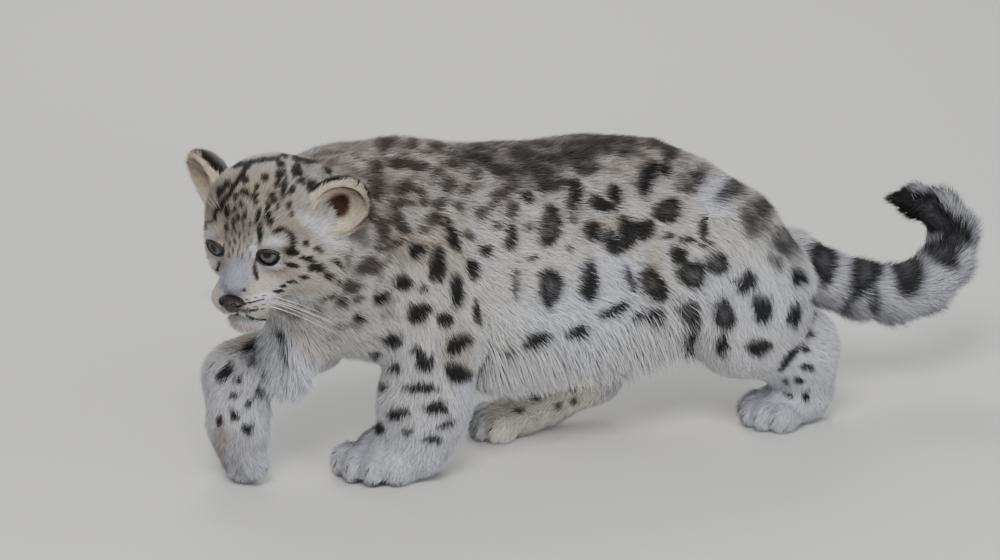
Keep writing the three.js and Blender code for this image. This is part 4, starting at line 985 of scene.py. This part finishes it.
# coat: tapered tufts of three sides, rooted in the skin and lying along it
def rootsOn(wanted, density):  # even sampling over the skin's faces by their own density
    quads = skinFaces[wanted]
    tri = np.concatenate([quads[:, [0, 1, 2]], quads[:, [0, 2, 3]]])
    a, b, c = (skinPoints[tri[:, i]] for i in range(3))
    area = norm(np.cross(b - a, c - a)) / 2 / 100  # cm2
    ends = np.cumsum(area * density[tri].mean(1))
    picks = np.searchsorted(ends, np.arange(0.5, ends[-1], 1.0))
    u, v = rng.random(len(picks)), rng.random(len(picks))
    flip = u + v > 1
    u, v = np.where(flip, 1 - u, u), np.where(flip, 1 - v, v)
    return tri[picks], np.stack([1 - u - v, u, v], 1)


def spread(values, corner, share):  # values of the skin's points, at places inside its triangles
    return (values[corner] * share[:, :, None]).sum(1)


tuftShapes = {1: ([0, 1], [1, 0]), 2: ([0, 0.5, 1], [0.9, 0.85, 0])}  # by segments: stations, and girth there


def growTufts(tuft, segments):
    roots, normals, lie, length, width = (tuft[k] for k in ("roots", "normals", "lie", "length", "width"))
    count = len(roots)
    down = np.array([0, 0, -1.0])
    liftRoot, liftTip = np.radians(tuft["lift"] * 1.35), np.radians(tuft["lift"] * 0.6)
    begin = lie * np.cos(liftRoot)[:, None] + normals * np.sin(liftRoot)[:, None]
    end = unit(lie * np.cos(liftTip)[:, None] + normals * np.sin(liftTip)[:, None] + down * tuft["droop"][:, None])
    across = unit(np.cross(begin, normals))
    points, shades, colours, uvs = [], [], [], []
    for t, girth in zip(*tuftShapes[segments]):
        spine = roots - normals * 0.5 + length[:, None] * (begin * t + (end - begin) * (t * t / 2))
        rise = unit(np.cross(across, unit(begin * (1 - t) + end * t)))
        rise = rise * np.sign((rise * normals).sum(1))[:, None]
        half = (width * girth / 2)[:, None]
        for k, out in enumerate([across, -across, rise * 0.7] if girth else [rise]):
            points.append(spine + out * half)
            shades.append(unit(normals + out * 0.55))
            colours.append(mixed(tuft["rootColour"], tuft["tipColour"], np.full(count, t)))
            uvs.append(tuft["uv"] + np.array([(0.0008, -0.0008, 0)[k] if girth else 0, (t - 0.5) * 0.003]))
    each, tip = len(points), 3 * (segments - 1)
    ring = ((0, 1), (1, 2), (2, 0))
    faces = [[0, 2, 1]]
    for a in range(0, tip, 3):
        for i, j in ring:
            faces += [[a + i, a + j, a + 3 + j], [a + i, a + 3 + j, a + 3 + i]]
    faces += [[tip + i, tip + j, each - 1] for i, j in ring]
    faces = (np.arange(count)[:, None, None] * each + np.array(faces)).reshape(-1, 3)
    points, shades, colours, uvs = (
        np.stack(rows, 1).reshape(count * each, -1) for rows in (points, shades, colours, uvs))
    points[:, 2] = np.maximum(points[:, 2], 0.4)  # hair that meets the floor lies along it
    return points, faces, shades, colours, uvs


def clumped(roots, tips, spacing, pull):  # tips drawn towards a few leading tufts
    leaders = rng.permutation(len(roots))[: max(4, int(len(roots) * spacing))]
    tree = kdtree.KDTree(len(leaders))
    for k, i in enumerate(leaders):
        tree.insert(roots[i], k)
    tree.balance()
    chosen = leaders[[tree.find(r)[1] for r in roots]]
    gather = pull[:, None] * rng.uniform(0.4, 1.1, len(roots))[:, None]
    return tips + (tips[chosen] - roots[chosen] + (roots[chosen] - roots) * 0.85 + roots - tips) * gather


def flat(way, normals):  # the part of a direction that lies along the skin
    return unit(way - normals * (way * normals).sum(1)[:, None])


def lengthNear(p, group):
    q = toLocal(headFrame, p)
    ruff = 0.55 + 0.95 * ramp(-q[:, 0], -22, 14)
    factor = np.where(isIn(group, "head") & (np.abs(q[:, 1]) > 12) & (q[:, 2] < 12), ruff, 1)
    flank = isIn(group, "body") & (p[:, 2] < 105) & (p[:, 0] > -70) & (p[:, 0] < 200)
    factor = np.where(flank | isIn(group, "hind_left", "hind_right") & (p[:, 2] > 80), 1.2, factor)
    tailEnd = np.array(tailLine[-1][:3])  # the last of the tail is rounded off
    return np.where(isIn(group, "tail"), 0.6 + 0.4 * ramp(norm(p - tailEnd), 5, 45), factor)


def barePlaces(p):  # eye openings, nose leather and soles
    bare = np.zeros(len(p), bool)
    for where in eyeFrames:
        bare |= (eyeOpening(where, p) < 1.6) & (norm(toLocal(where, p)) < 17)
    q = toLocal(headFrame, p) - noseSpot
    bare |= norm((q + (0.5, 0, 2.6)) / (8.5, 11, 4.2)) < 1
    bare |= norm((q + (0, 0, 5)) / (7, 5, 5.5)) < 1
    for paw in paws.values():
        local = toLocal(paw["frame"], p)
        bare |= (local[:, 2] < -13.5) & (norm(local) < paw["length"] * 0.5)
    return bare


hairy = ~barePlaces(middles)
# tones are the hairs' own random grizzle; root is painted shade deep between the tufts, tip a painted highlight on
# their ends
grizzleShadeAndHighlight = {"tones": [0.62, 0.86, 1.0, 1.18], "shares": [0.14, 0.2, 0.44, 0.22], "root": 0.7, "tip": 1.14}
pieceLimit = 190000  # triangles


def coatZone(name, nodes, members, segments=1, share=1.0, clump=0.03, longer=None, sink=0.0):
    wanted = members[skinFaces].all(1) & hairy
    corner, inside = rootsOn(wanted, perPart(skinWeights, "density") * share * (1))
    order = np.argsort(spread(skinPoints, corner, inside)[:, 0])  # so that a long zone can be cut into pieces
    corner, inside = corner[order], inside[order]
    roots, normals, weights, lie = (
        spread(values, corner, inside) for values in (skinPoints, skinNormals, skinWeights, skinLie))
    normals, lie = unit(normals), unit(lie)
    count = len(roots)
    group = skinGroup[corner[np.arange(count), inside.argmax(1)]]
    length = perPart(weights, "length") * rng.uniform(0.72, 1.15, count) * lengthNear(roots, group)
    hang = ramp(-normals[:, 2], 0.05, 0.55)  # a hanging fringe begins gently
    length = length * (1 + (longer(roots) - 1) * hang if longer else 1)
    lie[:, 2] -= sink * hang
    width = perPart(weights, "width") * rng.uniform(0.8, 1.25, count) * 1
    lift = perPart(weights, "lift") * rng.uniform(0.7, 1.3, count)
    wave = [ripple(roots, 40, 20 + k) * 0.14 + ripple(roots, 13, 30 + k) * 0.2 for k in range(3)]
    lie = flat(lie + rng.normal(0, 0.32 if sink else 0.2, lie.shape) + np.stack(wave, 1), normals)
    pull = np.clip(length / 50, 0.08, 0.42)
    tips = roots + (lie + normals * np.tan(np.radians(lift))[:, None] * 0.6) * length[:, None]
    lie = flat(unit(clumped(roots, tips, clump, pull) - roots), normals)
    shown = np.where(isIn(group, "ear"), 0.15, 1.0) * length
    tone = rng.choice(grizzleShadeAndHighlight["tones"], count, p=grizzleShadeAndHighlight["shares"]) * rng.uniform(0.9, 1.1, count)
    # each tuft darkens towards its root as painted shade and brightens at its tip as a painted highlight
    rootColour, tipColour = (
        coatColour(roots + lie * (shown * at)[:, None], normals, weights, group) * tone[:, None] * grizzleShadeAndHighlight[end]
        for at, end in ((0.45, "root"), (0.95, "tip")))
    tuft = {
        "roots": roots, "normals": normals, "lie": lie, "length": length, "width": width, "lift": lift,
        "droop": np.clip(length / 60, 0, 0.6) * 0.5, "uv": unwrap(roots, unwrapKind(roots, group)),
        "rootColour": rootColour, "tipColour": tipColour,
    }
    points, faces, shades, colours, uvs = growTufts(tuft, segments)
    each, perTuft = len(points) // count, len(faces) // count
    pieces = math.ceil(len(faces) / pieceLimit)
    cuts = np.linspace(0, count, pieces + 1).astype(int)
    for k, (a, b) in enumerate(zip(cuts, cuts[1:])):
        here, own = slice(a * each, b * each), faces[a * perTuft:b * perTuft] - a * each
        meshPiece(name + (f"_{k + 1}" if pieces > 1 else ""), points[here], [own], guardHair, nodes,
                  colours[here], uvs[here][own.reshape(-1)], shades[here])
    print(name, count, "tufts", len(faces), "triangles in", pieces)
    return len(faces)


def fringeLength(p):
    return 1.9 + 0.8 * ramp(p[:, 0], 40, 110) - ramp(p[:, 0], 168, 196)


x = skinPoints[:, 0]
headPart, bodyPart = isIn(skinGroup, "head"), isIn(skinGroup, "body")
ahead = toLocal(headFrame, skinPoints)[:, 0]
under = bodyPart & (skinNormals[:, 2] < -0.1) & (x > -70) & (x < 190)
total = coatZone("coat_trunk", ["torso"], bodyPart & (x > -90))
total += coatZone("coat_neck", ["neck", "torso"], bodyPart & (x < -87))
total += coatZone("coat_belly_fringe", ["torso"], under, 2, 0.4, 0.05, fringeLength, 1.6)
total += coatZone("coat_tail", ["tail_base", "tail_middle", "tail_tip"], isIn(skinGroup, "tail"))
for name in legLines:
    total += coatZone("coat_leg_" + name, ["leg_" + name, "paw_" + name], isIn(skinGroup, name))
total += coatZone("coat_face", ["head"], headPart & (ahead > 10))
total += coatZone("coat_head", ["head"], headPart & (ahead <= 12))
total += coatZone("coat_ears", ["ear_left", "ear_right"], isIn(skinGroup, "ear"))
print("coat:", total, "triangles")


# eyes: a grey iris behind a clear wet front
iris = {
    "fray": 1.2 * mm, "spokes": 7, "rings": 0.26,  # how far its bands waver, and fibres round and to the millimetre
    "bands": [(0.0, "#020202"), (0.24, "#030303"), (0.29, "#2b2c2f"), (0.42, "#56565a"), (0.56, "#37383b"),
              (0.66, "#080808"), (0.8, "#151210")],
}


def eyeMaterial():  # wet and clear in front, so that one small light shows in it
    material, tree, shader = newMaterial("eye_wet_glass_iris")
    place = addNode(tree, "TexCoord").outputs["Object"]
    split = addNode(tree, "SeparateXYZ", {0: place})
    turn = addNode(tree, "Math", {0: split.outputs[0], 1: split.outputs[1]}, operation="ARCTAN2")
    disc = addNode(tree, "VectorMath", {0: place, 1: (1, 1, 0)}, operation="MULTIPLY")
    far = addNode(tree, "VectorMath", {0: disc.outputs[0]}, operation="LENGTH").outputs["Value"]
    pair = addNode(tree, "CombineXYZ", {0: turn.outputs[0]})
    polar = addNode(tree, "VectorMath", {0: far, 1: (0, iris["rings"] / mm, 0), 2: pair.outputs[0]},
                    operation="MULTIPLY_ADD")
    wider = addNode(tree, "VectorMath", {0: polar.outputs[0], 1: (iris["spokes"], 1, 1)}, operation="MULTIPLY")
    fibres = addNode(tree, "TexNoise", {"Vector": wider.outputs[0], "Scale": 1.0, "Detail": 4.0, "Roughness": 0.6},
                     noise_dimensions="2D")
    jitter = addNode(tree, "Math", {0: fibres.outputs[0], 1: iris["fray"], 2: -iris["fray"] / 2},
                     operation="MULTIPLY_ADD")
    reach = addNode(tree, "Math", {0: far, 1: jitter.outputs[0]}, operation="ADD")
    share = addNode(tree, "Math", {0: reach.outputs[0], 1: eye["radius"] * mm}, operation="DIVIDE")
    hue = addNode(tree, "ValToRGB", {0: share.outputs[0]}, iris["bands"])
    setInputs(tree, shader, {"Base Color": hue.outputs[0], "Roughness": 0.6, "Specular IOR Level": 0.0,
                             "Coat Weight": 0.6, "Coat Roughness": 0.03})
    return material


eyeGlass = eyeMaterial()
for where, name in zip(eyeFrames, ("eye_left", "eye_right")):
    ray = pixelRay(*eye["looksFrom"][where["side"]])
    d = camPlace - where["place"]
    half = d @ ray
    t = -half - math.sqrt(half * half - d @ d + eye["radius"] ** 2)  # where the ray meets the ball
    look = unit(camPlace + ray * t - where["place"])
    bpy.ops.mesh.primitive_uv_sphere_add(segments=64, ring_count=48, radius=eye["radius"] * mm)
    ball = bpy.context.object
    ball.name = name
    ball.location = toRow(where["place"])
    ball.rotation_mode = "QUATERNION"
    ball.rotation_quaternion = Vector(look).to_track_quat("Z", "Y")
    for v in ball.data.vertices:  # the clear front bulges a little
        near = max(0, v.co.z / (eye["radius"] * mm) - 0.72) / 0.28
        v.co *= 1 + 0.035 * near
    ball.data.polygons.foreach_set("use_smooth", np.full(len(ball.data.polygons), True))
    ball.data.materials.append(eyeGlass)
    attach(ball, "root")
    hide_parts(name)
print("eyes placed")


# tubes for lid rims, lips, claws and whiskers
def tube(name, lines, radii, material, nodes, around):
    points, quads, ends, start = [], [], [], 0
    turn = np.linspace(0, 2 * math.pi, around, endpoint=False)[None, :, None]
    for line, radius in zip(lines, radii):
        line = np.asarray(line, float)
        way = unit(np.gradient(line, axis=0))
        side = unit(np.cross(way, np.array([0.3, 0.2, 1.0])))
        rise = np.cross(side, way)
        radius = np.broadcast_to(radius, len(line))[:, None, None]
        rings = line[:, None] + (side[:, None] * np.cos(turn) + rise[:, None] * np.sin(turn)) * radius
        points += [rings.reshape(-1, 3), line[[0, -1]]]
        last, centre = start + (len(line) - 1) * around, start + len(line) * around
        for j in range(around):
            k = (j + 1) % around
            quads += [(a + j, a + k, a + k + around, a + j + around) for a in range(start, last, around)]
            ends += [(start + k, start + j, centre), (last + j, last + k, centre + 1)]
        start = centre + 2
    meshPiece(name, np.concatenate(points), [np.array(quads), np.array(ends)], material, nodes)


def leatherMaterial(name, low, high, roughness, pebbles):  # damp skin, with a grain that breaks the highlight
    material, tree, shader = newMaterial(name)
    place = addNode(tree, "TexCoord").outputs["Object"]
    grain = addNode(tree, "TexVoronoi", {"Vector": place, "Scale": pebbles / mm}, feature="F1")
    cloud = addNode(tree, "TexNoise", {"Vector": place, "Scale": 0.22 / mm, "Detail": 4.0})
    mix = addNode(tree, "Mix", {0: cloud.outputs[0], 6: (*srgb(low), 1), 7: (*srgb(high), 1)}, data_type="RGBA")
    bump = addNode(tree, "Bump", {"Strength": 0.4, "Distance": 0.3 * mm, "Height": grain.outputs[0]})
    setInputs(tree, shader, {"Base Color": mix.outputs[2], "Normal": bump.outputs[0], "Roughness": roughness})
    return material


def cloudedMaterial(name, low, high, roughness, clouds, detail):  # two close tones; clouds across the piece's box
    material, tree, shader = newMaterial(name)
    cloud = addNode(tree, "TexNoise", {"Scale": clouds, "Detail": detail})
    hue = addNode(tree, "ValToRGB", {0: cloud.outputs[0]}, [(0.0, low), (1.0, high)])
    setInputs(tree, shader, {"Base Color": hue.outputs[0], "Roughness": roughness})
    return material


rimLeather = leatherMaterial("lid_rim_dark_damp_skin", "#0e0c0c", "#1c1716", 0.45, 2.6)  # fine pores, a damp line
noseLeather = leatherMaterial("nose_leather_damp_pebbled", "#120e0f", "#2c2322", 0.42, 1.7)  # pebbles of 0.6 mm
clawHorn = leatherMaterial("claw_horn_dusky_gloss", "#463e38", "#7c7167", 0.32, 0.9)  # smooth horn, a small highlight
hairWhite = cloudedMaterial(  # long stiff hairs that catch the light; tones change every 0.4 mm
    "whisker_white_horn_gloss", "#cfccc6", "#f1efeb", 0.38, 300.0, 2.0)


def lidEdge(where, turn):
    tilt = math.radians(where["side"] * eye["tilt"])
    across = np.cos(turn) * eye["width"] / 2 * 0.995
    _, high, low = lidHeights(where, across)
    rise = np.where(turn < math.pi, high, -low)
    l = across * math.cos(tilt) - rise * math.sin(tilt)
    u = across * math.sin(tilt) + rise * math.cos(tilt)
    r = eye["radius"] + 0.7
    return fromLocal(where, np.stack([np.sqrt(np.maximum(r * r - l * l - u * u, 1)), l, u], 1))


lidTurn = np.linspace(0, 2 * math.pi, 56)
lidGirth = 1.3 + 0.6 * np.sin(lidTurn)  # the upper rim is the heavier one
rimLines = [lidEdge(where, lidTurn) for where in eyeFrames]
tube("lid_rims", rimLines, [lidGirth, lidGirth], rimLeather, ["head"], 8)
lipLines = [fromLocal(headFrame, mouthPaths[side]) for side in sides]
tube("lips", lipLines, [1.2, 1.2], rimLeather, ["head"], 8)

noseEggs = [
    egg(headFrame, noseSpot - (0.5, 0, 2), (7, 10.5, 4.2), 2, "pad", "head"),
    egg(headFrame, noseSpot - (0, 0, 5), (5, 5, 5.5), 3, "pad", "head"),
]


def noseShape(p):
    value = smoothJoin(noseEggs[0]["value"](p), noseEggs[1]["value"](p), 3)
    q = toLocal(headFrame, p)
    for side in sides:
        pit = norm((q - noseSpot - (6, side * 5.2, -1)) / (3.4, 2.3, 1.6)) - 1
        slit = norm((q - noseSpot - (4.5, side * 8.4, -2.4)) / (4, 2.6, 0.9)) - 1
        value = np.maximum(value, -np.minimum(pit, slit) * 2)
    groove = np.hypot(q[:, 1] / 0.7, (q[:, 0] - 68.3) / 1.4) - 1
    return np.maximum(value, np.where(q[:, 2] < noseSpot[2] + 1, -groove * 0.8, value))


def shapePiece(name, shape, centre, reach, step, node):
    def fill(values, axes):
        grid = np.stack(np.meshgrid(*axes, indexing="ij"), -1).reshape(-1, 3)
        values[:] = shape(grid).reshape(values.shape)

    points, faces = gridSurface(fill, centre - reach, centre + reach, step)
    points = toSurface(points, shape, 2, step / 2)
    meshPiece(name, points, [faces], noseLeather, [node])


shapePiece("nose", noseShape, fromLocal(headFrame, noseSpot), 16, 0.5, "nose")


# pads under the paws and the tips of the claws between the hairs of the toes
def padShape(name):
    paw = paws[name]
    where, long, wide = paw["frame"], paw["length"], paw["width"]
    low = min(12.5, where["place"][2] - 4.5)
    pads = [egg(where, (-long * 0.02, paw["heel"] * 0.5, -low), (long * 0.17, wide * 0.26, 4.6), 3, "paw", name)]
    for a in toeSpread:
        spot = (long * (0.38 - 0.13 * a * a), wide * 0.35 * a, -low)
        pads.append(egg(where, spot, (long * 0.085, wide * 0.095, 4.2), 2, "paw", name))
    return lambda p: np.maximum(np.min([pad["value"](p) for pad in pads], axis=0), 0.3 - p[:, 2])


clawCurve = np.array([(-5, 0, 2.5), (-1.5, 0, 1.5), (0.8, 0, -0.6), (2, 0, -3.2)])
clawLines = []
for name, paw in paws.items():
    shapePiece("pads_" + name, padShape(name), paw["frame"]["place"], paw["length"] * 0.62, 1.0, "paw_" + name)
    for a in toeSpread:
        line = fromLocal(paw["frame"], toeAt(paw, a) + (paw["length"] * 0.19, 0, 0) + clawCurve)
        line[:, 2] = np.maximum(line[:, 2], 1.6)  # clear of the floor
        clawLines.append(line)
clawGirth = [1.2, 1.1, 0.8, 0.15]
tube("claws", clawLines, [clawGirth] * len(clawLines), clawHorn, ["paw_" + n for n in paws], 8)

whiskerRoots = (  # ahead, up, length
    (50, -27, 44), (46, -33, 50), (40, -27, 52), (36, -34, 44), (50, -31, 40), (43, -30, 48), (38, -31, 50))
along = np.linspace(0, 1, 12)[:, None]
alongBrow = np.linspace(0, 1, 10)[:, None]
whiskers, girths = [], []
for side in sides:
    for f, u, long in whiskerRoots:
        start = onSkin((f * 0.8, side * 4, u), (f * 0.8 + 12, side * 44, u))
        way = unit([-0.45 + rng.normal(0, 0.06), side * 0.8, -0.4 + rng.normal(0, 0.05)])
        sag = np.array([0, 0, -0.12 * long])
        whiskers.append(fromLocal(headFrame, start + way * (long - 2) * along + sag * along ** 2))
        girths.append(0.15 * (1 - along[:, 0]) + 0.04)
    for k in range(3):
        start = onSkin((20, side * 18, 14), (34, side * (19 + 4 * k), 40))
        way = unit(np.array([0.25, side * (0.3 + 0.2 * k), 0.9]))
        bend = np.array([-10, side * 5, -4])
        whiskers.append(fromLocal(headFrame, start + way * 18 * alongBrow + bend * alongBrow ** 2))
        girths.append(0.08 * (1 - alongBrow[:, 0]) + 0.02)
tube("whiskers", whiskers, girths, hairWhite, ["head"], 5)
print("lids, lips, nose, pads, claws and whiskers placed")


# floor and light
bpy.ops.mesh.primitive_plane_add(size=30)
floor = bpy.context.object
floor.name = "floor"
floor.data.materials.append(  # even pale ground for soft contact shadows
    cloudedMaterial("floor_matt_pale_paper", "#d3d2cf", "#dad9d6", 0.9, 3.0, 4.0))

lightTarget = (-0.05, 0, 0.13)
lights = {  # place and width in metres, watts, tint
    "key_overhead": ((-1.15, -1.75, 2.1), 1.2, 58, (1.0, 0.985, 0.96)),
    "fill_front": ((0.6, -2.5, 0.9), 3.0, 34, (0.96, 0.98, 1.0)),
    "rim_back": ((0.5, 1.9, 1.7), 1.6, 26, (1.0, 0.98, 0.95)),
}
for name, (place, size, power, tint) in lights.items():
    data = bpy.data.lights.new(name, "AREA")
    data.shape = "DISK"
    data.size = size
    data.energy = power
    data.color = tint
    lamp = bpy.data.objects.new(name, data)
    lamp.location = place
    lamp.rotation_mode = "QUATERNION"
    lamp.rotation_quaternion = (Vector(lightTarget) - Vector(place)).to_track_quat("-Z", "Y")
    bpy.context.collection.objects.link(lamp)
world = bpy.data.worlds.new("studio")
world.use_nodes = True
background = world.node_tree.nodes["Background"]
background.inputs[0].default_value = (*srgb("#dcdee2"), 1)
background.inputs[1].default_value = 0.62
bpy.context.scene.world = world
print("floor and lights placed")
